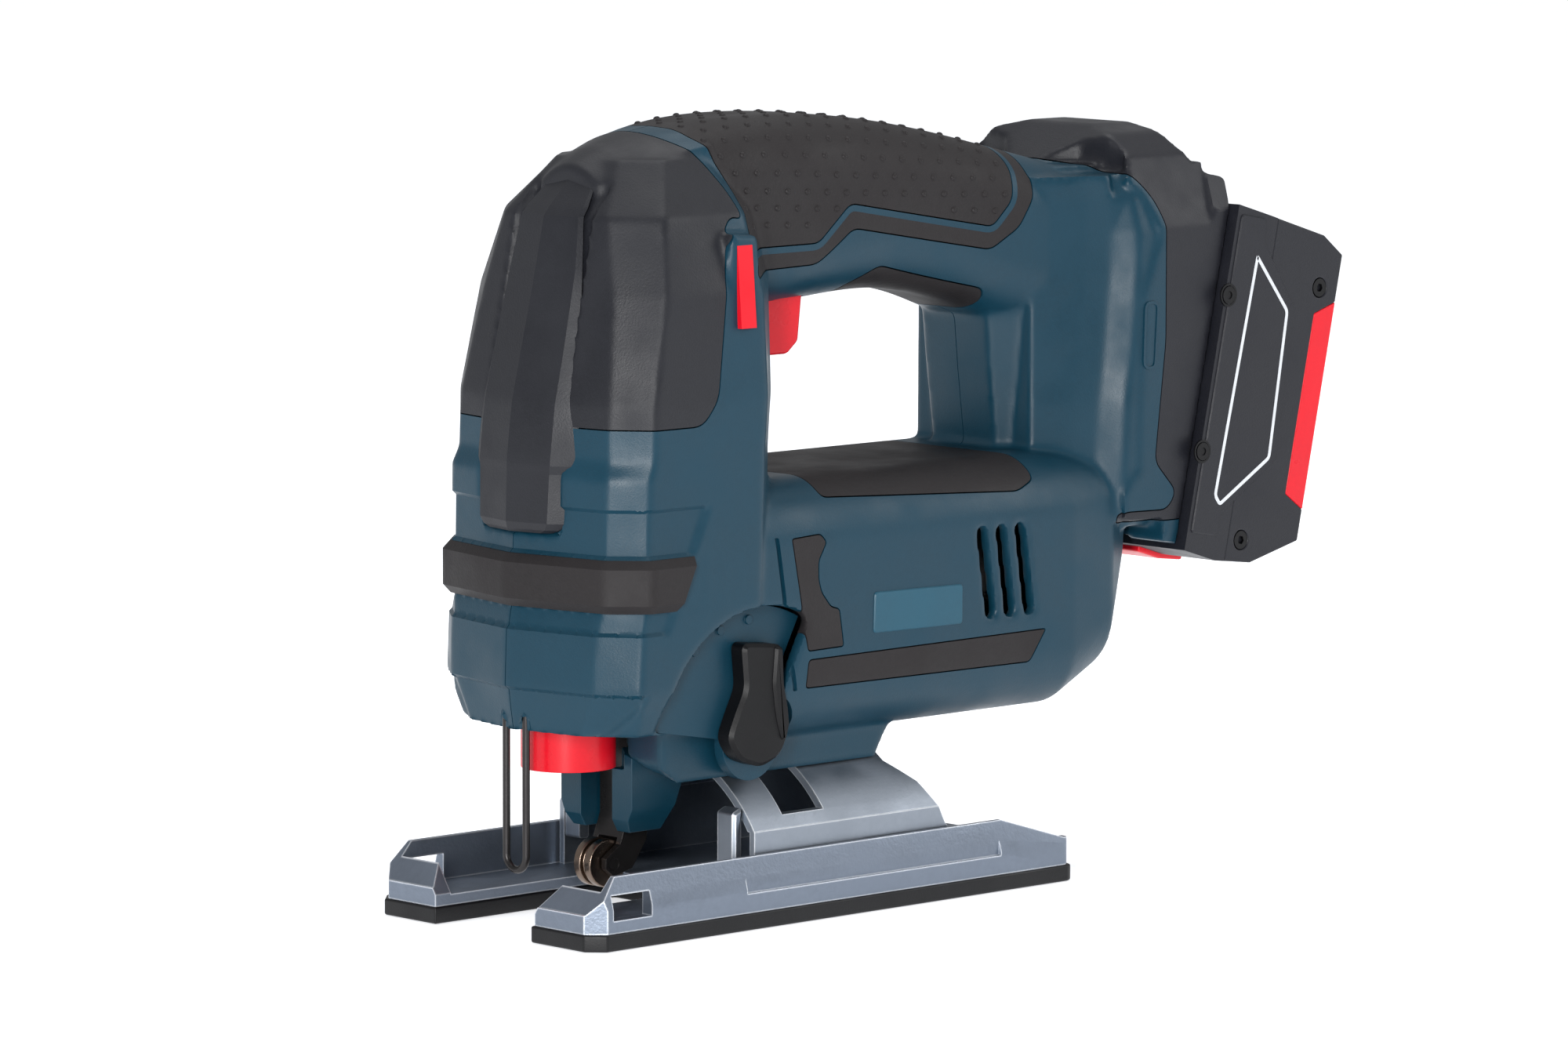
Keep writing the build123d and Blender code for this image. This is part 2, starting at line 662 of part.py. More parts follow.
with BuildPart() as orbital_lever:
    with BuildSketch(side_plane.offset(RECESS_DEPTH + 0.3)):
        with Locations(LEVER_PIVOT):
            Circle(LEVER_END_RADIUS)
            Rectangle(7.2, LEVER_LENGTH, align=(Align.CENTER, Align.MIN))
    extrude(amount=5.6)
    with BuildSketch(side_plane.offset(RECESS_DEPTH - 7.4)):
        with Locations(LEVER_PIVOT):
            Circle(SHAFT_RADIUS)
    extrude(amount=8)
save(orbital_lever, "orbital_lever")

with BuildPart() as orbital_cam:
    with BuildSketch(side_plane.offset(24.2)):
        with Locations(LEVER_PIVOT):
            Circle(4.6)
            Circle(SHAFT_RADIUS, mode=Mode.SUBTRACT)
    extrude(amount=1.5)
save(orbital_cam, "orbital_cam")

# ---- controls ----
with BuildPart() as trigger:
    with BuildSketch(side_plane):
        with BuildLine():
            Polyline(
                (TRIGGER_X, 148), (TRIGGER_X, 134), (TRIGGER_X + 4, 131.6), (TRIGGER_X + 14, 131.6),
                (TRIGGER_X + 17.5, 134.5), (TRIGGER_X + TRIGGER_LENGTH, 148), close=True,
            )
        make_face()
    extrude(amount=9.7, both=True)
    fillet(trigger.edges().filter_by(Axis.Y).group_by(Axis.Z)[0], 2.0)
save(trigger, "trigger")

with BuildPart() as lock_button:
    with Locations((LOCK_X, 0, LOCK_HEIGHT)):
        Cylinder(2.4, 60, rotation=(90, 0, 0))
    # the two caps lean in a little towards the top
    with BuildSketch(Plane.YZ.offset(LOCK_X - 2.4)):
        with BuildLine():
            Polyline(
                (28.4, LOCK_HEIGHT - LOCK_LENGTH / 2), (34.8, LOCK_HEIGHT - LOCK_LENGTH / 2),
                (33.2, LOCK_HEIGHT + LOCK_LENGTH / 2), (28.4, LOCK_HEIGHT + LOCK_LENGTH / 2), close=True,
            )
        make_face()
        mirror(about=Plane.YZ)
    extrude(amount=4.8)
save(lock_button, "lock_button")

with BuildPart() as switch:
    with Locations((16, 0, 165)):
        Box(26, 18, 15)
save(switch, "switch")

with BuildPart() as control_board:
    with BuildSketch(Plane.YZ.offset(98)):
        with Locations((0, 124)):
            Rectangle(28, 46)
    extrude(amount=1.6)
    with Locations((100.8, 0, 112), (100.8, 6, 134), (100.8, -6, 134)):
        Box(2.4, 8, 8)
save(control_board, "control_board")

# ---- motor and gears ----
motor_axis = Plane(origin=(0, 0, MOTOR_HEIGHT), x_dir=(0, 1, 0), z_dir=(1, 0, 0))
gear_axis = Plane(origin=(0, 0, GEAR_HEIGHT), x_dir=(0, 1, 0), z_dir=(1, 0, 0))


def ring(plane, start, length, outside, inside=0.0):
    """A round bar or a ring along X from a start position."""
    with BuildPart() as body:
        with BuildSketch(plane.offset(start)):
            Circle(outside)
            if inside:
                Circle(inside, mode=Mode.SUBTRACT)
        extrude(amount=length)
    return body


save(ring(motor_axis, 26, 54, MOTOR_RADIUS, MOTOR_RADIUS - 2.5), "motor_can")
save(ring(motor_axis, 30, 42, MOTOR_RADIUS - 2.5, MOTOR_RADIUS - 3.3), "motor_magnets")
save(ring(motor_axis, 82, 5, 7.0, SHAFT_RADIUS + RUNNING), "rear_bearing")
save(ring(motor_axis, 8, 6, 9.5, SHAFT_RADIUS + RUNNING), "front_bearing")
save(ring(motor_axis, 70, 7, 8.0, SHAFT_RADIUS), "commutator")

SLOTS = 12
with BuildPart() as armature:
    with BuildSketch(motor_axis.offset(32)):
        Circle(16.8)
        Circle(SHAFT_RADIUS, mode=Mode.SUBTRACT)
        with PolarLocations(15.4, SLOTS):
            Rectangle(5, 1.8, mode=Mode.SUBTRACT)
    extrude(amount=36)
save(armature, "armature")


def toothed(plane, start, length, teeth, root, tip):
    """A straight-toothed wheel with tapered teeth, along X from a start position."""
    pitch = 360 / teeth
    with BuildPart() as wheel:
        with BuildSketch(plane.offset(start)):
            with BuildLine():
                points = []
                for tooth in range(teeth):
                    for share, radius in ((-0.30, root), (-0.14, tip), (0.14, tip), (0.30, root)):
                        turn = radians((tooth + share) * pitch)
                        points.append((radius * cos(turn), radius * sin(turn)))
                Polyline(*points, close=True)
            make_face()
        extrude(amount=length)
    return wheel.part


with BuildPart() as motor_shaft:
    with BuildSketch(motor_axis.offset(-38)):
        Circle(SHAFT_RADIUS - 0.6)
    extrude(amount=20)
    with BuildSketch(motor_axis.offset(-20)):
        Circle(SHAFT_RADIUS)
    extrude(amount=107)
    add(toothed(motor_axis, -38, 12, PINION_TEETH, 2.5, 3.6))
save(motor_shaft, "motor_shaft")

FAN_BLADES = 9
with BuildPart() as fan:
    with BuildSketch(motor_axis.offset(17)):
        Circle(24)
        Circle(SHAFT_RADIUS, mode=Mode.SUBTRACT)
    extrude(amount=1.5)
    with BuildSketch(motor_axis.offset(17)):
        Circle(6)
        Circle(SHAFT_RADIUS, mode=Mode.SUBTRACT)
        with PolarLocations(15, FAN_BLADES):
            Rectangle(16, 1.4, rotation=25)
    extrude(amount=7)
save(fan, "fan")

with BuildPart() as bearing_plate:
    with BuildSketch(motor_axis.offset(8)):
        RectangleRounded(54, 46, 12)
        Circle(9.5, mode=Mode.SUBTRACT)
    extrude(amount=4)
save(bearing_plate, "bearing_plate")

with BuildPart() as drive_gear:
    add(toothed(gear_axis, -36, 8, GEAR_TEETH, 22.4, 24.1))
    with BuildSketch(gear_axis.offset(-37)):
        Circle(4.0 + RUNNING)
        with PolarLocations(14, 6, start_angle=30):
            Circle(3.2)
    extrude(amount=12, mode=Mode.SUBTRACT)
save(drive_gear, "drive_gear")

with BuildPart() as crank_pin:
    with BuildSketch(gear_axis.offset(-43.4)):
        with Locations((CRANK_RADIUS, 0)):
            Circle(2.6)
    extrude(amount=7.4)
save(crank_pin, "crank_pin")

with BuildPart() as balance_weight:
    with BuildSketch(gear_axis.offset(-39)):
        with BuildLine():
            ThreePointArc((-4, 20), (-20.4, 0), (-4, -20))
            Line((-4, -20), (-6, 0))
            Line((-6, 0), (-4, 20))
        make_face()
    extrude(amount=3)
save(balance_weight, "balance_weight")

save(ring(gear_axis, -36, 24, 4.0), "gear_spindle")

# ---- plunger and blade clamp ----
with BuildPart() as plunger:
    with BuildSketch(Plane.XY.offset(CLAMP_TOP)):
        with Locations((PLUNGER_X, 0)):
            Circle(PLUNGER_RADIUS)
    extrude(amount=96)
save(plunger, "plunger")

for bush_name, height in (("lower_bush", CLAMP_TOP + CRANK_RADIUS + 1.0), ("upper_bush", 127)):
    with BuildPart() as bush:
        with BuildSketch(Plane.XY.offset(height)):
            with Locations((PLUNGER_X, 0)):
                Circle(8.0)
                Circle(PLUNGER_RADIUS + RUNNING, mode=Mode.SUBTRACT)
        extrude(amount=11)
    save(bush, bush_name)

with BuildPart() as crank_yoke:
    with BuildSketch(Plane.YZ.offset(-50)):
        with Locations((0, GEAR_HEIGHT)):
            Rectangle(35, 14)
            Rectangle(30, 6.4, mode=Mode.SUBTRACT)
    extrude(amount=6)
    with BuildSketch(Plane.XY.offset(80)):
        with Locations((PLUNGER_X, 0)):
            Circle(PLUNGER_RADIUS)
    extrude(amount=60, mode=Mode.SUBTRACT)
save(crank_yoke, "crank_yoke")

with BuildPart() as blade_clamp:
    with BuildSketch(Plane.XY.offset(CLAMP_BOTTOM)):
        with Locations((PLUNGER_X, 0)):
            Circle(CLAMP_RADIUS)
    extrude(amount=CLAMP_TOP - CLAMP_BOTTOM)
    with Locations((PLUNGER_X, 0, CLAMP_BOTTOM)):
        Box(9.0, 4.4, 22, mode=Mode.SUBTRACT)
save(blade_clamp, "blade_clamp")

with BuildPart() as clamp_lever:
    with BuildSketch(Plane.XY.offset(CLAMP_BOTTOM - 1)):
        with Locations((PLUNGER_X, 0)):
            Circle(11.3)
            Circle(CLAMP_RADIUS + 2 * RUNNING, mode=Mode.SUBTRACT)
        with Locations((PLUNGER_X + 12, 0)):
            Rectangle(12, 16, mode=Mode.SUBTRACT)
        with Locations((PLUNGER_X, 11.0)):
            Rectangle(6, 3.4)
        with Locations((PLUNGER_X, 0)):
            Circle(CLAMP_RADIUS + 2 * RUNNING, mode=Mode.SUBTRACT)
    extrude(amount=13)
save(clamp_lever, "clamp_lever")

# ---- hex key, kept in a tube along the bottom of the barrel ----
key_axis = Plane(origin=(0, 0, KEY_HEIGHT), x_dir=(0, 1, 0), z_dir=(1, 0, 0))
save(ring(key_axis, 40, 43, 3.3, 2.7), "key_tube")
with BuildPart() as hex_key:
    with BuildSketch(key_axis.offset(42)):
        RegularPolygon(2.3, 6)
    extrude(amount=58)
    with BuildSketch(key_axis.offset(99.6)):
        Circle(3.0)
    extrude(amount=4)
save(hex_key, "hex_key")

# ---- battery pack, fitted in its rails ----
PACK_WALL = 1.1
PACK_SPLIT = 15.0
TONGUE_LOW = -40.0
PACK_SCREW_PLACES = ((34.0, 24.0), (9.5, 28.0), (8.0, -21.0), (20.0, -42.0))
pack_outline = (
    (0.35, -47.3), (0.35, 39.6), (11.9, 38.8), (32.8, 37.1), (PACK_DEPTH, 33.4),
    (PACK_DEPTH, -39.4), (24.7, -47.1), (11.9, -48.3),
)


def pack_form(inset, half):
    """The pack's outer form, drawn from the side with its skin taken in by an inset."""
    with BuildPart() as form:
        with BuildSketch(pack_plane) as profile:
            with BuildLine():
                Polyline(*pack_outline, close=True)
            make_face()
            if inset:
                offset(amount=-inset, kind=Kind.INTERSECTION)
        extrude(amount=half, both=True)
    return form.part


def pack_slab(near, far):
    """Everything between two depths from the interface."""
    with BuildPart() as slab:
        with BuildSketch(pack_plane):
            with Locations((near, 0)):
                Rectangle(far - near, 200, align=(Align.MIN, Align.CENTER))
        extrude(amount=80, both=True)
    return slab.part


def pack_block(near, far, low, high, half, middle=0.0):
    """A block in the pack's own directions."""
    with BuildPart() as block:
        with BuildSketch(pack_plane.offset(middle)):
            with Locations(((near + far) / 2, (low + high) / 2)):
                Rectangle(far - near, high - low)
        extrude(amount=half, both=True)
    return block.part


STRIP_LOW = -31.4
STRIP_HIGH = 21.3
with BuildPart() as red_strips:
    with BuildSketch(pack_plane):
        with BuildLine():
            Polyline(
                (33.5, STRIP_LOW + 3), (PACK_DEPTH, STRIP_LOW),
                (PACK_DEPTH, STRIP_HIGH), (33.5, STRIP_HIGH - 4), close=True,
            )
        make_face()
    extrude(amount=PACK_HALF, both=True)
    add(pack_block(33.0, 42.0, -60, 60, PACK_HALF - 0.8), mode=Mode.SUBTRACT)
save(red_strips, "red_strips")

with BuildPart() as red_trim:
    add(pack_block(2.0, 30.0, 30, 42, 26))
    add(pack_form(1.0, 60), mode=Mode.SUBTRACT)
    add(pack_form(-0.8, 60), mode=Mode.INTERSECT)
save(red_trim, "red_trim")

with BuildPart() as release_button:
    add(pack_block(4.0, 20.0, -52, -43, 18))
    add(pack_form(-1.2, 60), mode=Mode.INTERSECT)
save(release_button, "release_button")

with BuildPart() as pack_shell:
    add(pack_form(0, PACK_HALF))
    add(pack_form(PACK_WALL, PACK_HALF - 1.8), mode=Mode.SUBTRACT)
    add(red_strips.part, mode=Mode.SUBTRACT)
    add(red_trim.part, mode=Mode.SUBTRACT)
    add(pack_block(3.6, 20.4, -60, -42, 18.4), mode=Mode.SUBTRACT)
    with BuildSketch(pack_plane.offset(PACK_HALF - 0.95)):
        with Locations(*PACK_SCREW_PLACES):
            Circle(2.5)
    extrude(amount=4, mode=Mode.SUBTRACT)

for case_name, near, far in (("pack_front_case", -20, PACK_SPLIT), ("pack_rear_case", PACK_SPLIT, 60)):
    with BuildPart() as case:
        add(pack_shell.part)
        add(pack_slab(near, far), mode=Mode.INTERSECT)
        if case_name == "pack_front_case":
            # the tongue that runs in the foot's channel
            tongue_top = CHANNEL_TOP - 0.4
            add(rail_block(TONGUE_LOW, tongue_top, LIP_HALF - GAP, -0.6, LIP_DEPTH + 0.4))
            add(rail_block(TONGUE_LOW, tongue_top, CHANNEL_HALF - GAP, LIP_DEPTH + GAP, CHANNEL_DEPTH - 0.4))
            with BuildSketch(rail_plane.offset(0.5)):
                with Locations(*[(side, 20) for side in CONTACT_SIDES]):
                    Rectangle(2.4, 24)
            extrude(amount=6, mode=Mode.SUBTRACT)
    save(case, case_name)

CELL_RADIUS = 9.1
CELL_PITCH = 18.7
for row_name, depth in (("cells_front", 10.8), ("cells_rear", 29.6)):
    with BuildPart() as cells:
        with BuildSketch(pack_plane.offset(-32.5)):
            with Locations(*[(depth, CELL_PITCH * (place - 1.5) - 3.4) for place in range(4)]):
                Circle(CELL_RADIUS)
        extrude(amount=65)
    save(cells, row_name)

with BuildPart() as terminal_block:
    add(rail_block(-2, CHANNEL_TOP - 1, 15, 5.6, 12))
    with BuildSketch(rail_plane.offset(1.0)):
        with Locations(*[(side, 18) for side in CONTACT_SIDES]):
            Rectangle(0.8, 14)
    extrude(amount=5.0)
save(terminal_block, "terminal_block")

# ---- screws ----
with BuildPart() as housing_screws:
    for x, height, depth in SCREW_PLACES:
        with BuildSketch(side_plane.offset(-depth)):
            with Locations((x, height)):
                Circle(2.4)
                RegularPolygon(1.2, 6, mode=Mode.SUBTRACT)
        extrude(amount=2.0)
        with BuildSketch(side_plane.offset(2.0 - depth)):
            with Locations((x, height)):
                Circle(2.4)
        extrude(amount=12.0)
save(housing_screws, "housing_screws")

with BuildPart() as pack_screws:
    with BuildSketch(pack_plane.offset(PACK_HALF - 0.9)):
        with Locations(*PACK_SCREW_PLACES):
            Circle(2.3)
            RegularPolygon(1.1, 6, mode=Mode.SUBTRACT)
    extrude(amount=0.8)
save(pack_screws, "pack_screws")
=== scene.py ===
import json
from math import cos, pi, radians, sin

import bmesh
import bpy
import numpy as np
from mathutils import Matrix, Vector
from mathutils.bvhtree import BVHTree


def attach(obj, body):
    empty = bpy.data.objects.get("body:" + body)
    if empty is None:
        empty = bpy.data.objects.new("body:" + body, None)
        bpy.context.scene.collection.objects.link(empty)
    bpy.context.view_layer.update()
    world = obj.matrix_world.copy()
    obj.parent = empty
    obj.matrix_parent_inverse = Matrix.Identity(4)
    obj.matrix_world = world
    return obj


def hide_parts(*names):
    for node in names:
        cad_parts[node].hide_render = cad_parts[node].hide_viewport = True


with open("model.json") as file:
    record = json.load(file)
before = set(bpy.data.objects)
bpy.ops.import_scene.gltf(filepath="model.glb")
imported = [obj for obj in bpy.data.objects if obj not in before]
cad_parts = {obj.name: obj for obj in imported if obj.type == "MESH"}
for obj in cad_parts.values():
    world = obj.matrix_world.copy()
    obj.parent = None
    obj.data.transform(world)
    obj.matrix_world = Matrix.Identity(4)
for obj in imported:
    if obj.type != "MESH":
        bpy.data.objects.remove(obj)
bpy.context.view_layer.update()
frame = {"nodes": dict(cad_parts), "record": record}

# The jigsaw's visual model. Pieces are drawn in millimetres in the shared frame, and MM turns
# them into Blender's metres. The camera and the lights are placed in metres.
MM = 0.001
NODES = frame["nodes"]
SIDES = ((-1, "left"), (1, "right"))

# ---------------------------------------------------------------- camera and stage
CAMERA_AT = Vector((-1.27334, -1.37022, 0.31299))
CAMERA_TURN = radians(43.3)
CAMERA_DROP = radians(6.77)
CAMERA_ROLL = radians(0.15)
FLOOR_HALF = 9.0
FLOOR_DROP = 0.0002
FLOOR_GLOW = 0.64
SURROUND = (0.97, 0.98, 1.0, 1)
SURROUND_STRENGTH = 0.45
# each softbox: name, place, the point it faces, width and height, watts
LIGHTS = (
    ("front_strip", (-1.08, -0.86, 0.34), (-0.06, -0.03, 0.10), (0.15, 0.62), 15.0),
    ("overhead", (0.25, 0.15, 1.6), (-0.02, 0.0, 0.09), (1.2, 1.2), 12.0),
    ("rear_left", (1.3, -0.9, 0.8), (-0.02, 0.0, 0.09), (0.8, 1.0), 7.0),
)


def add_camera():
    """A long lens from the front left, a little above the base."""
    data = bpy.data.cameras.new("camera")
    data.sensor_width = 36.0
    data.lens = 180.0
    data.clip_end = 50.0
    camera = new_object("camera", data)
    turn = Matrix.Rotation(-CAMERA_TURN, 4, "Z")
    tilt = Matrix.Rotation(pi / 2 - CAMERA_DROP, 4, "X")
    roll = Matrix.Rotation(CAMERA_ROLL, 4, "Z")
    camera.matrix_world = Matrix.Translation(CAMERA_AT) @ turn @ tilt @ roll
    bpy.context.scene.camera = camera


def add_light(name, at, aim, size, power):
    """A soft rectangular light at a place, turned to face another."""
    data = bpy.data.lights.new(name, "AREA")
    data.shape = "RECTANGLE"
    data.size, data.size_y = size
    data.energy = power
    light = new_object(name, data)
    light.location = at
    light.rotation_euler = (Vector(aim) - Vector(at)).to_track_quat("-Z", "Y").to_euler()


def add_stage():
    """A pale floor, a pale surround and the softboxes."""
    half = FLOOR_HALF
    corners = [(-half, -half, 0), (half, -half, 0), (half, half, 0), (-half, half, 0)]
    mesh = bpy.data.meshes.new("floor")
    mesh.from_pydata(corners, [], [(0, 1, 2, 3)])
    floor = new_object("floor", mesh)
    floor.location.z = -FLOOR_DROP
    floor.data.materials.append(pale_floor())
    world = bpy.data.worlds.new("surround")
    world.use_nodes = True
    background = world.node_tree.nodes["Background"]
    background.inputs["Color"].default_value = SURROUND
    background.inputs["Strength"].default_value = SURROUND_STRENGTH
    bpy.context.scene.world = world
    for light in LIGHTS:
        add_light(*light)
    bpy.context.scene.view_settings.view_transform = "Standard"


# ---------------------------------------------------------------- materials
# the span of a noise's values that is stretched over a whole range
NOISE_LOW = 0.3
NOISE_HIGH = 0.7
FINE_DETAIL = 3.0
BROAD_DETAIL = 5.0
SPECKLE_DETAIL = 2.0
# the speckle's scale beside the grain's, how strongly it shows and its tint beside the tone's
SPECKLE_SCALE = 0.4
SPECKLE_SHARE = 0.5
SPECKLE_TINT = 1.5
ROUGH_SPREAD = 0.10
# cosines between a face and its bevelled neighbourhood where the lighter edge colour, part wear and part
# painted highlight, starts and where it is full
EDGE_WEAR_AND_GLINT_START = 0.995
EDGE_WEAR_AND_GLINT_FULL = 0.93
EDGE_WEAR_AND_GLINT_SAMPLES = 4
# the Mix node's two colour inputs and its colour output
MIX_FIRST = 6
MIX_SECOND = 7
MIX_RESULT = 2


def linear(red, green, blue):
    """An 8-bit display colour as the linear colour that a shader takes, by the sRGB curve."""
    colour = []
    for value in (red, green, blue):
        share = value / 255
        colour.append(share / 12.92 if value <= 10 else ((share + 0.055) / 1.055) ** 2.4)
    return tuple(colour)


def pale_floor():
    """Matt white card with the faintest mottling, lit a little from within."""
    card = surface("floor_card", linear(236, 238, 241), 0.8, grain=(900.0, 0.02), tint=0.01, blotch=3.0)
    shader = card.node_tree.nodes["Principled BSDF"]
    shader.inputs["Emission Color"].default_value = SURROUND
    shader.inputs["Emission Strength"].default_value = FLOOR_GLOW
    return card


def surface(name, colour, rough, metal=0.0, grain=(2600.0, 0.03), tint=0.10, blotch=70.0,
            edge_wear_and_glint=None, edge_wear_and_glint_width=0.5, coat=0.0, level=0.5):
    """A material whose colour, roughness and relief all vary.

    grain is a scale per metre and a depth in mm, blotch a scale per metre, tint a share of the
    colour; the edge colour and its width in mm paint the edges lighter, partly as wear and partly as a
    painted highlight."""
    material = bpy.data.materials.new(name)
    material.use_nodes = True
    tree = material.node_tree
    nodes, links = tree.nodes, tree.links
    shader = nodes["Principled BSDF"]
    shader.inputs["Metallic"].default_value = metal
    shader.inputs["Coat Weight"].default_value = coat
    shader.inputs["Specular IOR Level"].default_value = level
    coords = nodes.new("ShaderNodeTexCoord")
    grain_scale, grain_depth = grain

    def noise(scale, detail):
        """A noise over the object's own coordinates."""
        texture = nodes.new("ShaderNodeTexNoise")
        texture.inputs["Scale"].default_value = scale
        texture.inputs["Detail"].default_value = detail
        links.new(coords.outputs["Object"], texture.inputs["Vector"])
        return texture.outputs["Fac"]

    def spread_to(value, low, high):
        """A noise's value stretched over a range."""
        to = nodes.new("ShaderNodeMapRange")
        to.inputs["From Min"].default_value = NOISE_LOW
        to.inputs["From Max"].default_value = NOISE_HIGH
        to.inputs["To Min"].default_value = low
        to.inputs["To Max"].default_value = high
        links.new(value, to.inputs["Value"])
        return to.outputs["Result"]

    def mix(factor, first, second):
        """One colour blended into another, each a tuple or a socket."""
        blend = nodes.new("ShaderNodeMix")
        blend.data_type = "RGBA"
        links.new(factor, blend.inputs["Factor"])
        for index, value in ((MIX_FIRST, first), (MIX_SECOND, second)):
            if isinstance(value, tuple):
                blend.inputs[index].default_value = (*value, 1)
            else:
                links.new(value, blend.inputs[index])
        return blend.outputs[MIX_RESULT]

    def toned(change):
        """The colour made lighter or darker by a share of itself."""
        return tuple(min(1.0, c * (1 + change)) for c in colour)

    fine = noise(grain_scale, FINE_DETAIL)
    broad = noise(blotch, BROAD_DETAIL)
    speckle = noise(grain_scale * SPECKLE_SCALE, SPECKLE_DETAIL)
    tone = mix(spread_to(broad, 0.0, 1.0), toned(-tint), toned(tint))
    tone = mix(spread_to(speckle, 0.0, SPECKLE_SHARE), tone, toned(SPECKLE_TINT * tint))
    # edges are painted a lighter colour: partly wear, partly a painted highlight
    if edge_wear_and_glint:
        edge = nodes.new("ShaderNodeBevel")
        edge.samples = EDGE_WEAR_AND_GLINT_SAMPLES
        edge.inputs["Radius"].default_value = edge_wear_and_glint_width * MM
        facing = nodes.new("ShaderNodeNewGeometry")
        dot = nodes.new("ShaderNodeVectorMath")
        dot.operation = "DOT_PRODUCT"
        links.new(edge.outputs["Normal"], dot.inputs[0])
        links.new(facing.outputs["Normal"], dot.inputs[1])
        edge_wear_and_glint_mask = nodes.new("ShaderNodeMapRange")
        edge_wear_and_glint_mask.inputs["From Min"].default_value = EDGE_WEAR_AND_GLINT_START
        edge_wear_and_glint_mask.inputs["From Max"].default_value = EDGE_WEAR_AND_GLINT_FULL
        links.new(dot.outputs["Value"], edge_wear_and_glint_mask.inputs["Value"])
        tone = mix(edge_wear_and_glint_mask.outputs["Result"], tone, edge_wear_and_glint)
    links.new(tone, shader.inputs["Base Color"])
    links.new(spread_to(broad, rough - ROUGH_SPREAD, rough + ROUGH_SPREAD), shader.inputs["Roughness"])
    bump = nodes.new("ShaderNodeBump")
    bump.inputs["Strength"].default_value = 1.0
    bump.inputs["Distance"].default_value = grain_depth * MM
    links.new(fine, bump.inputs["Height"])
    links.new(bump.outputs["Normal"], shader.inputs["Normal"])
    return material


# each finish: colour, roughness and what else surface() is told; all but the last three are slots
LOOKS = {
    "petrol_housing": (linear(10, 50, 66), 0.42, dict(grain=(2200.0, 0.035), tint=0.07, level=0.3)),
    "soft_grip": (linear(31, 28, 29), 0.60, dict(grain=(1500.0, 0.06), tint=0.14, level=0.28)),
    "soft_cover": (linear(28, 29, 34), 0.48, dict(grain=(2000.0, 0.045), tint=0.10, level=0.3)),
    "dark_frame": (linear(26, 27, 33), 0.46, dict(grain=(2200.0, 0.04), tint=0.08, level=0.3)),
    "red_plastic": (linear(208, 10, 30), 0.34, dict(grain=(2600.0, 0.015), tint=0.06, level=0.3)),
    # the base's and the saddle's edges are painted near white, partly as wear and partly as a painted
    # highlight
    "base_alloy": (linear(118, 127, 140), 0.44, dict(metal=0.85, grain=(1300.0, 0.07), tint=0.08,
                                                     edge_wear_and_glint=linear(232, 236, 242), edge_wear_and_glint_width=0.6)),
    "saddle_steel": (linear(138, 145, 154), 0.42, dict(metal=0.95, grain=(1700.0, 0.03), tint=0.06,
                                                       edge_wear_and_glint=linear(240, 242, 245))),
    "shoe_plastic": (linear(12, 12, 14), 0.42, dict(grain=(2400.0, 0.03), level=0.3)),
    "black_plastic": (linear(7, 7, 9), 0.42, dict(grain=(2600.0, 0.02), level=0.22)),
    "steel": (linear(172, 170, 166), 0.27, dict(metal=1.0, grain=(2600.0, 0.012), tint=0.06)),
    "dark_steel": (linear(52, 50, 50), 0.34, dict(metal=0.8, grain=(2600.0, 0.012))),
    "zinc_screw": (linear(150, 150, 152), 0.30, dict(metal=1.0, grain=(2600.0, 0.01))),
    "bronze": (linear(150, 110, 60), 0.35, dict(metal=1.0)),
    "copper": (linear(184, 110, 70), 0.30, dict(metal=1.0)),
    "board_green": (linear(20, 84, 52), 0.40, {}),
    "lens": (linear(200, 205, 200), 0.12, dict(tint=0.03, coat=0.6)),
    "cell_wrap": (linear(60, 120, 150), 0.35, {}),
    "roller_steel": (linear(128, 112, 100), 0.30, dict(metal=1.0, grain=(1900.0, 0.015), tint=0.15)),
    "pale_print": (linear(205, 208, 212), 0.45, dict(grain=(2600.0, 0.01), tint=0.04)),
    "plate_tone": (linear(28, 74, 92), 0.38, dict(grain=(2600.0, 0.015), tint=0.06, level=0.3)),
}
FINISH = {name: surface(name, colour, rough, **rest) for name, (colour, rough, rest) in LOOKS.items()}


def paint(obj, look):
    """Gives an object one finish all over."""
    obj.data.materials.clear()
    obj.data.materials.append(FINISH[look])


# ---------------------------------------------------------------- mesh tools
# further out on either side than any piece
BEYOND = 60.0
# points nearer than this, in metres, are one point
SAME_POINT = 1e-6
# an outline's edge shorter than this has no direction of its own
NO_LENGTH = 1e-6
# the most of an edge that a rounded corner takes up
CORNER_SHARE = 0.45
SMOOTHING = 0.5
# faces that meet at more than this many degrees shade apart
SHADE_ANGLE = 35.0


def new_object(name, data):
    """An object for a mesh, light or camera, put into the scene."""
    obj = bpy.data.objects.new(name, data)
    bpy.context.scene.collection.objects.link(obj)
    return obj


def from_shape(name, shape):
    """An object made from a bmesh, which is used up."""
    mesh = bpy.data.meshes.new(name)
    shape.to_mesh(mesh)
    shape.free()
    return new_object(name, mesh)


def settle(obj):
    """Replaces an object's mesh by what its modifiers make of it."""
    graph = bpy.context.evaluated_depsgraph_get()
    graph.update()
    mesh = bpy.data.meshes.new_from_object(obj.evaluated_get(graph))
    old = obj.data
    obj.modifiers.clear()
    obj.data = mesh
    bpy.data.meshes.remove(old)


def copy_of(name, nodes):
    """One object joined from copies of CAD nodes, each of them closed."""
    shape = bmesh.new()
    for node in nodes:
        shape.from_mesh(NODES[node].data)
    bmesh.ops.remove_doubles(shape, verts=shape.verts, dist=SAME_POINT)
    return from_shape(name, shape)


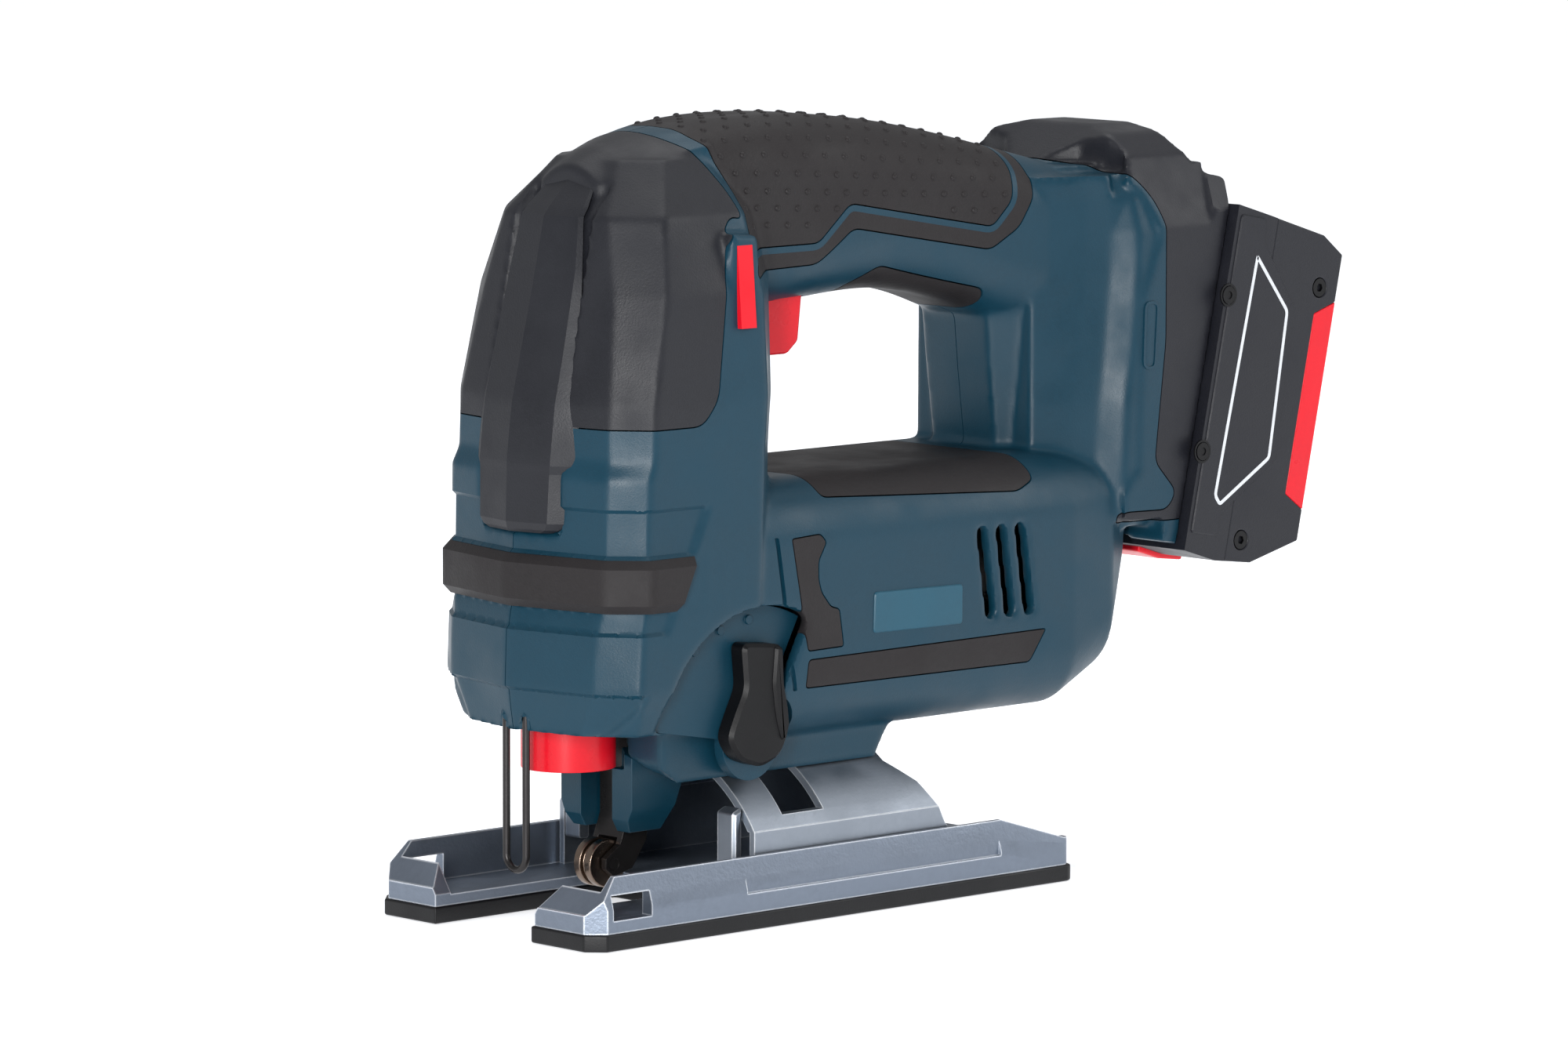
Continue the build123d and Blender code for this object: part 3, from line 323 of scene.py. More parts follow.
def remesh(obj, voxel, passes):
    """An even skin over the object, with its edges softened by a few smoothing passes."""
    grid = obj.modifiers.new("grid", "REMESH")
    grid.mode = "VOXEL"
    grid.voxel_size = voxel * MM
    soft = obj.modifiers.new("soft", "SMOOTH")
    soft.factor = SMOOTHING
    soft.iterations = passes
    settle(obj)


def rounded(points, radius, steps=4):
    """The outline with each corner turned into a short curve."""
    result = []
    count = len(points)
    for i, corner in enumerate(points):
        here = Vector(corner)
        before = Vector(points[i - 1]) - here
        after = Vector(points[(i + 1) % count]) - here
        near = min(radius, before.length * CORNER_SHARE)
        far = min(radius, after.length * CORNER_SHARE)
        start = here + before.normalized() * near
        end = here + after.normalized() * far
        for step in range(steps + 1):
            t = step / steps
            result.append(start * (1 - t) ** 2 + here * 2 * t * (1 - t) + end * t ** 2)
    return result


def circle(middle, radius, steps=32):
    """A round outline."""
    turns = [2 * pi * i / steps for i in range(steps)]
    return [Vector((middle[0] + radius * cos(turn), middle[1] + radius * sin(turn))) for turn in turns]


def shrunk(points, amount):
    """The outline moved inwards by an amount, its points in either order."""
    count = len(points)
    area = sum(points[i - 1].x * points[i].y - points[i].x * points[i - 1].y for i in range(count))
    side = 1 if area > 0 else -1
    result = []
    for i, here in enumerate(points):
        last = points[i - 1]
        following = points[(i + 1) % count]
        before = here - last
        after = following - here
        if before.length < NO_LENGTH or after.length < NO_LENGTH:
            before = after = following - last
        along = before.normalized() + after.normalized()
        normal = Vector((-along.y, along.x)).normalized() * side
        result.append(here + normal * amount)
    return result


def prism(points, near=-BEYOND, far=BEYOND):
    """A closed bar along Y whose section is an outline of (x, z) points."""
    shape = bmesh.new()
    rings = [[shape.verts.new((p[0] * MM, y * MM, p[1] * MM)) for p in points] for y in (near, far)]
    shape.faces.new(rings[0])
    shape.faces.new(list(reversed(rings[1])))
    for i in range(len(points)):
        j = (i + 1) % len(points)
        shape.faces.new((rings[0][j], rings[0][i], rings[1][i], rings[1][j]))
    bmesh.ops.recalc_face_normals(shape, faces=shape.faces)
    return from_shape("prism", shape)


def combine(obj, tool, operation):
    """Cuts, trims or joins an object with another closed one, which is used up."""
    step = obj.modifiers.new("step", "BOOLEAN")
    step.object = tool
    step.operation = operation
    step.solver = "MANIFOLD"
    settle(obj)
    bpy.data.objects.remove(tool)


def duplicate(obj, name):
    """A copy of an object with a mesh of its own."""
    return new_object(name, obj.data.copy())


def split_off(body, name, outline, gap=0.0):
    """Takes the part of the body inside an outline away as a piece of its own, a gap smaller."""
    piece = duplicate(body, name)
    combine(piece, prism(shrunk(outline, gap)), "INTERSECT")
    combine(body, prism(outline), "DIFFERENCE")
    return piece


def finish_piece(obj, body, slot, *nodes, look=None, angle=SHADE_ANGLE):
    """Shades and paints a piece, in its slot's finish or another, sets it on what it rides on and hides the
    CAD nodes it stands for.
    """
    obj.data.shade_smooth()
    obj.data.set_sharp_from_angle(angle=radians(angle))
    paint(obj, look or slot)
    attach(obj, body)
    if nodes:
        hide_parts(*nodes)


def mesh_piece(name, points, faces):
    """An object from points and faces, with its normals all facing out."""
    mesh = bpy.data.meshes.new(name)
    mesh.from_pydata([Vector(p) * MM for p in points], [], faces)
    shape = bmesh.new()
    shape.from_mesh(mesh)
    bmesh.ops.recalc_face_normals(shape, faces=shape.faces)
    shape.to_mesh(mesh)
    shape.free()
    return new_object(name, mesh)


def loops_piece(name, loops, closed=False):
    """A skin through equal loops of points, capped at its two ends unless it closes on itself."""
    count = len(loops[0])
    rows = len(loops)
    points = [p for loop in loops for p in loop]
    faces = []
    for row in range(rows if closed else rows - 1):
        here = row * count
        there = (row + 1) % rows * count
        for i in range(count):
            j = (i + 1) % count
            faces.append([here + i, here + j, there + j, there + i])
    if not closed:
        faces.append(list(range(count)))
        faces.append([(rows - 1) * count + i for i in range(count)])
    return mesh_piece(name, points, faces)


def plate(name, outline, inner, outer, edge=0.3, side=-1):
    """A flat plate seen from the side, with a chamfered outer edge."""
    levels = ((inner, 0.0), (outer - edge, 0.0), (outer, edge))
    loops = [[(p[0], side * y, p[1]) for p in shrunk(outline, inset)] for y, inset in levels]
    return loops_piece(name, loops)


def outline_ring(name, outline, width, inner, outer, side=-1):
    """A thin raised line that follows an outline seen from the side."""
    within = shrunk(outline, width)
    levels = ((inner, outline), (outer, outline), (outer, within), (inner, within))
    loops = [[(p[0], side * y, p[1]) for p in ring] for y, ring in levels]
    return loops_piece(name, loops, closed=True)


def joined(name, pieces):
    """Several meshes as one object; the pieces are used up."""
    shape = bmesh.new()
    for piece in pieces:
        shape.from_mesh(piece.data)
    for piece in pieces:
        bpy.data.objects.remove(piece)
    return from_shape(name, shape)


def holds(outline, x, z):
    """Whether a point is inside an outline."""
    inside = False
    for i, here in enumerate(outline):
        last = outline[i - 1]
        if (here[1] > z) != (last[1] > z):
            if x < (last[0] - here[0]) * (z - here[1]) / (last[1] - here[1]) + here[0]:
                inside = not inside
    return inside


def surface_tree(obj):
    """A search tree over an object's faces, for dropping detail on to it."""
    shape = bmesh.new()
    shape.from_mesh(obj.data)
    tree = BVHTree.FromBMesh(shape)
    shape.free()
    return tree


# ---------------------------------------------------------------- hard CAD pieces
# points of a CAD mesh nearer than this, in metres, are welded before its edges are rounded
WELD_GAP = 1e-5
# in degrees: faces that turn less are one flat, and edges that turn more are rounded
FLAT_ANGLE = 1.0
EDGE_ANGLE = 28.0
EDGE_STEPS = 2
EDGE_WIDTHS = {
    "base_plate": 0.45, "glide_shoe": 0.5, "saddle": 0.35, "fork_legs": 0.7, "roller_fork": 0.5,
    "roller": 0.35, "pack_front_case": 0.8, "pack_rear_case": 0.8, "red_strips": 0.3,
    "red_trim": 0.3, "release_button": 0.5, "trigger": 0.9, "lock_button": 0.5,
    "orbital_dial": 0.3, "blade_clamp": 0.4, "clamp_lever": 0.5, "clamp_screw": 0.3,
    "housing_screws": 0.25, "pack_screws": 0.15, "hex_key": 0.3, "plunger": 0.3, "key_tube": 0.2,
}


def edge_finish(node, width):
    """Rounds a CAD node's edges by modifiers, which leave its own points and faces alone."""
    obj = NODES[node]
    weld = obj.modifiers.new("weld", "WELD")
    weld.merge_threshold = WELD_GAP
    flat = obj.modifiers.new("flat", "DECIMATE")
    flat.decimate_type = "DISSOLVE"
    flat.angle_limit = radians(FLAT_ANGLE)
    bevel = obj.modifiers.new("bevel", "BEVEL")
    bevel.width = width * MM
    bevel.segments = EDGE_STEPS
    bevel.limit_method = "ANGLE"
    bevel.angle_limit = radians(EDGE_ANGLE)
    bevel.use_clamp_overlap = True
    bevel.miter_outer = "MITER_ARC"
    obj.data.shade_smooth()
    normals = obj.modifiers.new("normals", "WEIGHTED_NORMAL")
    normals.keep_sharp = True


def finish_nodes():
    """Every CAD node gets the finish of its slot, and the ones that show get rounded edges."""
    for row in frame["record"]["subparts"]:
        paint(NODES[row["node"]], row["material_slot"])
    for node, width in EDGE_WIDTHS.items():
        edge_finish(node, width)
    paint(NODES["roller"], "roller_steel")
    paint(NODES["hex_key"], "dark_steel")


# ---------------------------------------------------------------- the housing's skin
SKIN_NODES = (
    "housing_left", "housing_right", "head_cover", "grip_pad", "handle_under_pad", "palm_rest_pad",
    "side_stripe", "side_patch", "battery_foot",
)
VOXEL = 0.9
SMOOTH_PASSES = 4
# heights between which the head's front is sunk, and by how much
SUNK_BANDS = ((90.0, 100.8, 0.9), (71.6, 77.6, 0.7), (40.0, 57.4, 1.1))
# the bands' slanted end on each side, as two (x, height) points, and the width of its chamfer
BAND_END = ((-38.2, 100.1), (-52.7, 67.8))
BAND_CHAMFER = 1.9
# only what faces away from the head's upright axis is sunk, and only this far out or forward
HEAD_AXIS_X = -35.0
SUNK_FACING = 0.35
SUNK_HALF_WIDTH = 27.0
SUNK_FRONT_X = -61.0
# stands in for a length of nothing, on the axis itself
TINY = 1e-9

# one half of the CAD pocket behind the bumper: its outer and inner line as (x, y), its heights
PLUG_OUTER = ((-70.2, 0), (-64.7, 27.2), (-57.2, 34.5), (-36.0, 34.5))
PLUG_INNER = ((-66.4, 0), (-61.5, 25.6), (-55.6, 31.6), (-36.0, 31.6))
PLUG_HEIGHTS = (76.6, 89.9)


def bumper_plug():
    """Fills the CAD pocket behind the bumper, flush with the head's sides."""
    ring = PLUG_OUTER + PLUG_INNER[::-1]
    points = [(x, s * y, z) for s in (1, -1) for z in PLUG_HEIGHTS for x, y in ring]
    faces = []
    count = len(ring)
    for half in range(2):
        low = half * 2 * count
        high = low + count
        faces.append([low + i for i in range(count)])
        faces.append([high + i for i in range(count)])
        for i in range(count):
            j = (i + 1) % count
            faces.append([low + i, low + j, high + j, high + i])
    return mesh_piece("plug", points, faces)


# the battery's sliding plane: its x at one height, and how far it leans back per millimetre
RAIL_X = 129.0
RAIL_Z = 124.0
RAIL_SLOPE = 0.21986
# the flange along the battery frame: heights, its front edge and its half width
FLARE_LEVELS = (
    (86.5, 101.0, 33.0), (92, 101.2, 33.6), (100, 101.6, 33.8), (115, 102.6, 33.8),
    (130, 104.6, 33.8), (145, 106.0, 33.8), (157, 106.6, 33.2), (165, 106.8, 30.5),
    (171, 106.0, 25.5),
)
# the flank starts inside the column at (x, half width) and sweeps out through points given as
# (distance ahead of the flange's edge, half width)
FLARE_ROOT = (82, 20)
FLARE_SWEEP = ((11, 24.5), (5, 28.0))
# the flange's front corner is cut this far ahead and this far in
FLARE_CORNER = (1.4, 1.2)
# the flange ends this far short of the sliding plane, and this much wider
FLARE_END = (6.4, 0.4)


def rail_x(z):
    """Where the battery's sliding plane is at a height."""
    return RAIL_X + (z - RAIL_Z) * RAIL_SLOPE


def column_flare():
    """The rear column's flanks, which sweep out to a flat flange along the battery frame."""
    loops = []
    for z, edge, half in FLARE_LEVELS:
        side = [FLARE_ROOT]
        side += [(edge - ahead, width) for ahead, width in FLARE_SWEEP]
        side += [(edge - FLARE_CORNER[0], half - FLARE_CORNER[1]), (edge, half)]
        side += [(rail_x(z) - FLARE_END[0], half + FLARE_END[1])]
        loops.append([(x, -y, z) for x, y in side] + [(x, y, z) for x, y in reversed(side)])
    return loops_piece("flare", loops)


# the raised seats of the lock button, as (x, height) corners, and how far out they reach
LOCK_BOSS = ((-30.4, 164.0), (-21.6, 163.4), (-19.0, 139.0), (-29.6, 139.0))
BOSS_CORNER = 1.0
BOSS_INNER = 24.0
BOSS_OUTER = 33.2
BOSS_EDGE = 0.8


def lock_bosses():
    """A flat seat round each end of the lock button."""
    outline = rounded(LOCK_BOSS, BOSS_CORNER)
    return [plate("boss", outline, BOSS_INNER, BOSS_OUTER, BOSS_EDGE, side) for side, _ in SIDES]


# stations along the top of the head, as (x, height, half width)
CROWN = ((-52.0, 179.4, 10.0), (-44.0, 183.4, 13.5), (-34.0, 186.4, 16.5), (-22.0, 188.2, 18.5))
CROWN_DROP = 4.5
CROWN_BASE = 165.0
CROWN_STEPS = 10


def crown():
    """Carries the head's dome up smoothly into the handle."""
    across = [-1 + 2 * i / CROWN_STEPS for i in range(CROWN_STEPS + 1)]
    loops = []
    for x, top, half in CROWN:
        loop = [(x, t * half, top - CROWN_DROP * t * t) for t in across]
        loops.append(loop + [(x, half, CROWN_BASE), (x, -half, CROWN_BASE)])
    return loops_piece("crown", loops)


def band_end_x(z):
    """Where the bands end at a height, seen from the side."""
    (high_x, high_z), (low_x, low_z) = BAND_END
    return low_x + (high_x - low_x) * (z - low_z) / (high_z - low_z)


def sink_bands(skin):
    """Steps the head's front in along its bands, up to a slanted end on each side."""
    mesh = skin.data
    count = len(mesh.vertices)
    at = np.zeros(count * 3)
    mesh.vertices.foreach_get("co", at)
    at = at.reshape(-1, 3)
    normal = np.zeros(count * 3)
    mesh.vertices.foreach_get("normal", normal)
    normal = normal.reshape(-1, 3)
    x, z = at[:, 0] / MM, at[:, 2] / MM
    inside = np.clip((band_end_x(z) - x) / BAND_CHAMFER, 0, 1)
    outward = np.stack([at[:, 0] - HEAD_AXIS_X * MM, at[:, 1], np.zeros(count)], 1)
    outward /= np.maximum(np.linalg.norm(outward, axis=1, keepdims=True), TINY)
    facing = (normal * outward).sum(1) > SUNK_FACING
    outer = np.abs(at[:, 1]) / MM > SUNK_HALF_WIDTH
    outer |= x < SUNK_FRONT_X
    depth = np.zeros(count)
    for low, high, sunk in SUNK_BANDS:
        depth[(z > low) & (z < high)] = sunk
    shift = depth * inside * facing * outer * MM
    flat = normal.copy()
    flat[:, 2] = 0
    at -= flat * shift[:, None]
    mesh.vertices.foreach_set("co", at.ravel())
    mesh.update()


# the battery frame's upper corners are cut back, as (half width, height), along this much of x
FRAME_CORNER = ((36.2, 157.5), (28.0, 174.0), (20.0, 190.0), (50.0, 190.0), (50.0, 157.5))
FRAME_CORNER_X = (108.0, 155.0)


def build_skin():
    """One even, softened skin over the housing and everything let into it."""
    pieces = [copy_of("skin", SKIN_NODES), bumper_plug(), column_flare(), crown(), *lock_bosses()]
    skin = joined("skin", pieces)
    remesh(skin, VOXEL, SMOOTH_PASSES)
    sink_bands(skin)
    for side, _ in SIDES:
        loops = [[(x, side * y, z) for y, z in FRAME_CORNER] for x in FRAME_CORNER_X]
        combine(skin, loops_piece("corner", loops), "DIFFERENCE")
    return skin


# outlines of the covers and pads, as (x, z) seen from the left side
COVER = (
    (-95, 119.5), (-40.6, 119.5), (-35.5, 125.5), (-31.6, 150), (-30.0, 162.5), (-26.5, 167.5),
    (-22.3, 166.6), (-22.9, 173), (-27, 181), (-36.5, 190), (-95, 200),
)
GRIP = (
    (-34.5, 196), (-25.5, 182.5), (-20.7, 173), (-20.0, 158.6), (10.4, 158.7), (21.3, 167.6),
    (68.6, 159.6), (74.7, 165.7), (76.4, 173.7), (75.4, 182), (72, 200),
)
BAND = (
    (-22.0, 152.8), (10.4, 153.6), (22.4, 161.6), (68.0, 154.0), (77.1, 159.1), (82.1, 166.9),
    (81.5, 178.2), (78, 200), (-33, 200), (-24.0, 182.5), (-19.2, 173.0),
)
UNDER = ((25, 147.5), (33.5, 152.2), (68.5, 144.6), (70.5, 141), (67, 133), (46, 133), (20, 140))
PALM = ((2, 112), (2, 99.2), (66, 96), (73, 98.4), (73, 112))
STRIPE = ((-6.6, 54.6), (68.7, 54.1), (74.5, 62.1), (-5.6, 61.6))
PATCH = (
    (-11.2, 90.9), (-1.6, 91.4), (0.4, 89.2), (-2.2, 84.9), (-2.2, 80.4), (-1.2, 77.3),
    (1.8, 73.7), (4.6, 73.0), (6.1, 63.6), (-5.8, 63.4),
)
FRAME = (
    (97.0, 200), (97.0, 174.2), (103.5, 173.0), (109.0, 169.5), (112.6, 165.0), (114.3, 159.5),
    (114.4, 129.8), (110.9, 100.2), (118.5, 92.3), (115.4, 88.2), (100, 88.6), (100, 85.2),
    (150, 85.2), (160, 200),
)
# what is split off the skin, in this order: the piece's name, its outline, its corners' radius
SPLITS = (
    ("head_cover_skin", COVER, 3.0), ("grip_band", BAND, 2.2), ("under_pad", UNDER, 2.0),
    ("palm_pad", PALM, 2.0), ("stripe_pad", STRIPE, 1.2), ("patch_pad", PATCH, 1.0),
    ("pack_frame", FRAME, 2.5),
)
# the pieces' slots and the CAD nodes they stand for
PAD_SLOTS = (
    ("head_cover_skin", "soft_cover", "head_cover"), ("grip_rubber", "soft_grip", "grip_pad"),
    ("grip_band", "soft_grip"), ("grip_line", "petrol_housing"),
    ("under_pad", "soft_grip", "handle_under_pad"), ("palm_pad", "soft_grip", "palm_rest_pad"),
    ("pack_frame", "dark_frame", "battery_foot"), ("stripe_pad", "soft_grip", "side_stripe"),
    ("patch_pad", "soft_grip", "side_patch"),
)
GRIP_CORNER = 2.0
# the painted line round the grip is this wide
GRIP_LINE = 1.5
SEAM = 0.32
# the groove down each flank, and the distance from the middle to its bottom
GROOVE = ((-16.6, 91.4), (-15.3, 91.4), (-9.2, 54.4), (-10.5, 54.4))
GROOVE_CORNER = 0.4
GROOVE_FLOOR = 32.7
# the round well that the orbital lever turns in, on the left side only
LEVER_PIVOT = (-20.1, 42.6)
LEVER_WELL = 12.8
LEVER_WELL_FLOOR = 28.8
# an outline round the whole tool, and the half gap between the housing's halves
ALL_ROUND = ((-120, -20), (200, -20), (200, 260), (-120, 260))
ALL_ROUND_REACH = 90.0
HALF_GAP = 0.12


def build_body():
    """The housing halves and their soft pads, cut from one skin so that they flow together."""
    skin = build_skin()
    combine(skin, prism(circle(LEVER_PIVOT, LEVER_WELL), -BEYOND, -LEVER_WELL_FLOOR), "DIFFERENCE")
    groove = rounded(GROOVE, GROOVE_CORNER)
    combine(skin, prism(groove, -BEYOND, -GROOVE_FLOOR), "DIFFERENCE")
    combine(skin, prism(groove, GROOVE_FLOOR, BEYOND), "DIFFERENCE")
    pads = {name: split_off(skin, name, rounded(outline, radius), SEAM) for name, outline, radius in SPLITS}
    grip_outline = rounded(GRIP, GRIP_CORNER)
    pads["grip_line"] = split_off(pads["grip_band"], "grip_line", shrunk(grip_outline, -GRIP_LINE))
    pads["grip_rubber"] = split_off(pads["grip_line"], "grip_rubber", grip_outline, SEAM)
    for name, slot, *nodes in PAD_SLOTS:
        finish_piece(pads[name], "tool", slot, *nodes)
    right = duplicate(skin, "shell_right")
    combine(right, prism(ALL_ROUND, HALF_GAP, ALL_ROUND_REACH), "INTERSECT")
    combine(skin, prism(ALL_ROUND, -ALL_ROUND_REACH, -HALF_GAP), "INTERSECT")
    skin.name = "shell_left"
    finish_piece(skin, "tool", "petrol_housing", "housing_left")
    finish_piece(right, "tool", "petrol_housing", "housing_right")
    return pads["grip_rubber"]


# ---------------------------------------------------------------- bumper and shield
# the bumper's outer line from above, as (x, y)
BUMPER_PLAN = (
    (-72.6, 0), (-66.6, 28.6), (-58.0, 36.6), (-36.0, 36.6), (-36.0, -36.6), (-58.0, -36.6),
    (-66.6, -28.6),
)
BUMPER_CORNER = 1.6
BUMPER_STEPS = 3
# the bumper's section, as heights and how far each lies inside its outer line
BUMPER_LEVELS = ((77.0, 1.8), (79.0, 0.0), (87.5, 0.0), (89.5, 1.8), (89.5, 4.4), (77.0, 4.4))
# the bumper is cut off this far ahead of the bands' end, between heights clear of it
BUMPER_SHORT = 0.6
BUMPER_CUT_LOW = 70.0
BUMPER_CUT_HIGH = 96.0


def build_bumper():
    """The rubber band round the head, chamfered along both edges and cut along the bands' end."""
    plan = rounded(BUMPER_PLAN, BUMPER_CORNER, BUMPER_STEPS)
    loops = [[(p.x, p.y, z) for p in shrunk(plan, inset)] for z, inset in BUMPER_LEVELS]
    bumper = loops_piece("bumper", loops, closed=True)
    ends = [Vector((band_end_x(z) - BUMPER_SHORT, z)) for z in (BUMPER_CUT_LOW, BUMPER_CUT_HIGH)]
    behind = ends + [Vector((0, BUMPER_CUT_HIGH)), Vector((0, BUMPER_CUT_LOW))]
    combine(bumper, prism(behind), "DIFFERENCE")
    finish_piece(bumper, "tool", "soft_cover", "bumper_ring", look="soft_grip")


# the nose's front line, as (height, x), and how far it falls back per millimetre sideways
NOSE_LINE = ((90, -70.2), (112, -69.2), (125, -68.0), (150, -63.0), (168, -59.5), (180, -49.5))
NOSE_SLOPE = 0.2
# heights, with the shield's half width, its side chamfer and how far it stands proud
SHIELD_SHAPE = (
    (94.6, 9.0, 2.0, 0.5), (95.4, 10.8, 2.6, 1.2), (97.0, 11.8, 3.0, 1.7), (108.6, 12.2, 3.2, 1.9),
    (110.6, 12.4, 5.0, 2.0), (119.5, 12.4, 4.8, 1.8), (135.0, 12.2, 3.0, 1.2),
    (156.0, 11.4, 0.9, 0.3), (170.0, 9.6, 0.6, 0.0), (177.5, 7.0, 0.5, -1.0),
)
SHIELD_STEP = 1.5
# how far behind the nose's line the shield's side edges and its back lie
SHIELD_TUCK = 0.9
SHIELD_BACK = 3.6
SHIELD_SHADE_ANGLE = 14.0


def build_shield():
    """The hard-wearing shield down the nose: a shallow V with chamfered sides, narrow at its top."""
    heights, *columns = np.array(SHIELD_SHAPE).T
    nose_z, nose_x = np.array(NOSE_LINE).T
    loops = []
    for z in sorted(set(np.arange(heights[0], heights[-1], SHIELD_STEP)) | set(heights)):
        half, chamfer, proud = (float(np.interp(z, heights, column)) for column in columns)
        front = float(np.interp(z, nose_z, nose_x))
        edge = front + NOSE_SLOPE * (half + chamfer) + SHIELD_TUCK
        loop = [(edge, -half - chamfer, z)]
        for y in (-half, -half * 0.5, 0, half * 0.5, half):
            loop.append((front + NOSE_SLOPE * abs(y) - proud, y, z))
        loop.append((edge, half + chamfer, z))
        loop += [(front + SHIELD_BACK, half, z), (front + SHIELD_BACK, -half, z)]
        loops.append(loop)
    shield = loops_piece("nose_shield", loops)
    finish_piece(shield, "tool", "soft_cover", "front_shield", angle=SHIELD_SHADE_ANGLE)


# ---------------------------------------------------------------- grip bumps
BUMP_PITCH = 6.6
BUMP_RADIUS = 0.85
BUMP_HEIGHT = 0.5
BUMP_SIDES = 8
# each dome's rings, as shares of its radius and its height, and how deep its root goes
BUMP_RINGS = ((1.0, -0.1), (0.8, 0.55), (0.4, 0.9))
BUMP_ROOT = 0.3
# the rows lie round the handle, from a little below its right side over the top to its left
BUMP_ROWS = 19
BUMP_START = -12
BUMP_SWEEP = 204
BUMP_STEPS = range(-6, 15)
# every other row is moved along by this share of the pitch
BUMP_STAGGER = 0.5
# how far inside the grip's outline the domes stay, and how squarely the grip has to face them
BUMP_MARGIN = 2.0
BUMP_FACING = 0.5
BUMP_SHADE_ANGLE = 60.0
# the middle of the handle: its height at x = 0 and how it falls, and a radius that clears it
HANDLE_Z = 168
HANDLE_FALL = 0.06
HANDLE_CLEAR = 40


def add_dome(points, faces, at, normal):
    """Adds one low dome that stands on a surface."""
    side = normal.orthogonal().normalized()
    up = normal.cross(side)
    first = len(points)
    for radius, height in BUMP_RINGS:
        for i in range(BUMP_SIDES):
            spin = 2 * pi * i / BUMP_SIDES
            out = (side * cos(spin) + up * sin(spin)) * BUMP_RADIUS * radius
            points.append(at + out + normal * BUMP_HEIGHT * height)
    top = len(points)
    last = top - BUMP_SIDES
    points.append(at + normal * BUMP_HEIGHT)
    points.append(at - normal * BUMP_HEIGHT * BUMP_ROOT)
    for low in range(first, last, BUMP_SIDES):
        high = low + BUMP_SIDES
        for i in range(BUMP_SIDES):
            j = (i + 1) % BUMP_SIDES
            faces.append([low + i, low + j, high + j, high + i])
    for i in range(BUMP_SIDES):
        j = (i + 1) % BUMP_SIDES
        faces.append([last + i, last + j, top])
        faces.append([first + j, first + i, top + 1])


def build_bumps(grip):
    """Staggered low domes over the grip, dropped on to its surface all round the handle."""
    tree = surface_tree(grip)
    limit = shrunk(rounded(GRIP, GRIP_CORNER), BUMP_MARGIN)
    points, faces = [], []
    for row in range(BUMP_ROWS):
        turn = radians(BUMP_START + BUMP_SWEEP * row / (BUMP_ROWS - 1))
        away = Vector((0, cos(turn), sin(turn)))
        for step in BUMP_STEPS:
            x = (step + (BUMP_STAGGER if row % 2 else 0)) * BUMP_PITCH
            axis = Vector((x, 0, HANDLE_Z - HANDLE_FALL * x)) * MM
            hit, normal, _, _ = tree.ray_cast(axis + away * HANDLE_CLEAR * MM, -away)
            if hit is None or normal.dot(away) < BUMP_FACING:
                continue
            if holds(limit, hit.x / MM, hit.z / MM):
                add_dome(points, faces, hit / MM, normal)
    bumps = mesh_piece("grip_bumps", points, faces)
    finish_piece(bumps, "tool", "soft_grip", angle=BUMP_SHADE_ANGLE)


# ---------------------------------------------------------------- orbital lever
LEVER = (
    (-27.0, 67.4), (-13.8, 66.0), (-13.4, 56.7), (-12.0, 50.3), (-11.4, 45.6), (-14.4, 39.6),
    (-20.8, 37.2), (-28.0, 39.6), (-31.6, 44.8), (-28.8, 51.0), (-25.9, 56.3),
)
LEVER_RIDGE = (
    (-17.0, 65.8), (-14.6, 65.4), (-14.2, 56.6), (-12.8, 50.4), (-12.4, 46.4), (-14.6, 43.0),
    (-16.0, 46.6), (-17.0, 51.0), (-17.8, 57.0),
)
# the lever's layers: name, outline, inner and outer distance from the middle, chamfer
LEVER_LAYERS = (
    ("lever", rounded(LEVER, 2.4), 29.4, 34.0, 0.9),
    ("ridge", rounded(LEVER_RIDGE, 0.8), 33.0, 34.7, 0.6),
    ("shaft", circle(LEVER_PIVOT, 3.0, 24), 21.8, 30.0, 0.2),
)


def build_lever():
    """The orbital lever: a thumb bar on a round end, with a raised ridge along its rear side."""
    lever = joined("lever_knob", [plate(*layer) for layer in LEVER_LAYERS])
    finish_piece(lever, "orbital_control", "black_plastic", "orbital_lever")


# ---------------------------------------------------------------- battery detail
PACK_SIDE = 37.0
SIDE_PANEL = (
    (138.6, 160.2), (147.4, 158.6), (146.9, 152.6), (157.8, 135.8), (151.6, 98.1), (131.6, 85.7),
    (130.6, 80.4), (121.3, 82.0),
)
LABEL = ((143.8, 150.2), (155.4, 135.2), (149.2, 98.4), (131.0, 87.8), (129.0, 90.6))
LATCH = ((106.9, 140.2), (112.0, 139.9), (111.0, 123.1), (106.4, 123.4))
FRONT_SCREWS = ((133.7, 140.3), (124.8, 102.0))
SCREW_STEPS = 24
# a raised outline: corner radius, width, inner and outer distance from the middle
LABEL_LINE = (1.2, 0.9, PACK_SIDE + 0.3, PACK_SIDE + 0.55)
LATCH_LINE = (2.2, 0.7, 33.6, 34.75)
# a screw's rings: radius, width, inner and outer distance from the middle
SCREW_RINGS = ((2.9, 0.5, PACK_SIDE + 0.2, PACK_SIDE + 0.6), (2.2, 1.2, PACK_SIDE + 0.2, PACK_SIDE + 0.75))
# a plate: corner radius, inner and outer distance from the middle, chamfer
PANEL_PLATE = (1.0, PACK_SIDE - 0.4, PACK_SIDE + 0.45, 0.3)
SCREW_FLOOR = (1.3, PACK_SIDE + 0.2, PACK_SIDE + 0.52, 0.05)


def raised_line(name, outline, line, side):
    """A raised line along an outline on one side."""
    corner, width, inner, outer = line
    return outline_ring(name, rounded(outline, corner), width, inner, outer, side)


def raised_plate(name, outline, shape, side):
    """A plate on one side."""
    corner, inner, outer, edge = shape
    return plate(name, rounded(outline, corner), inner, outer, edge, side)


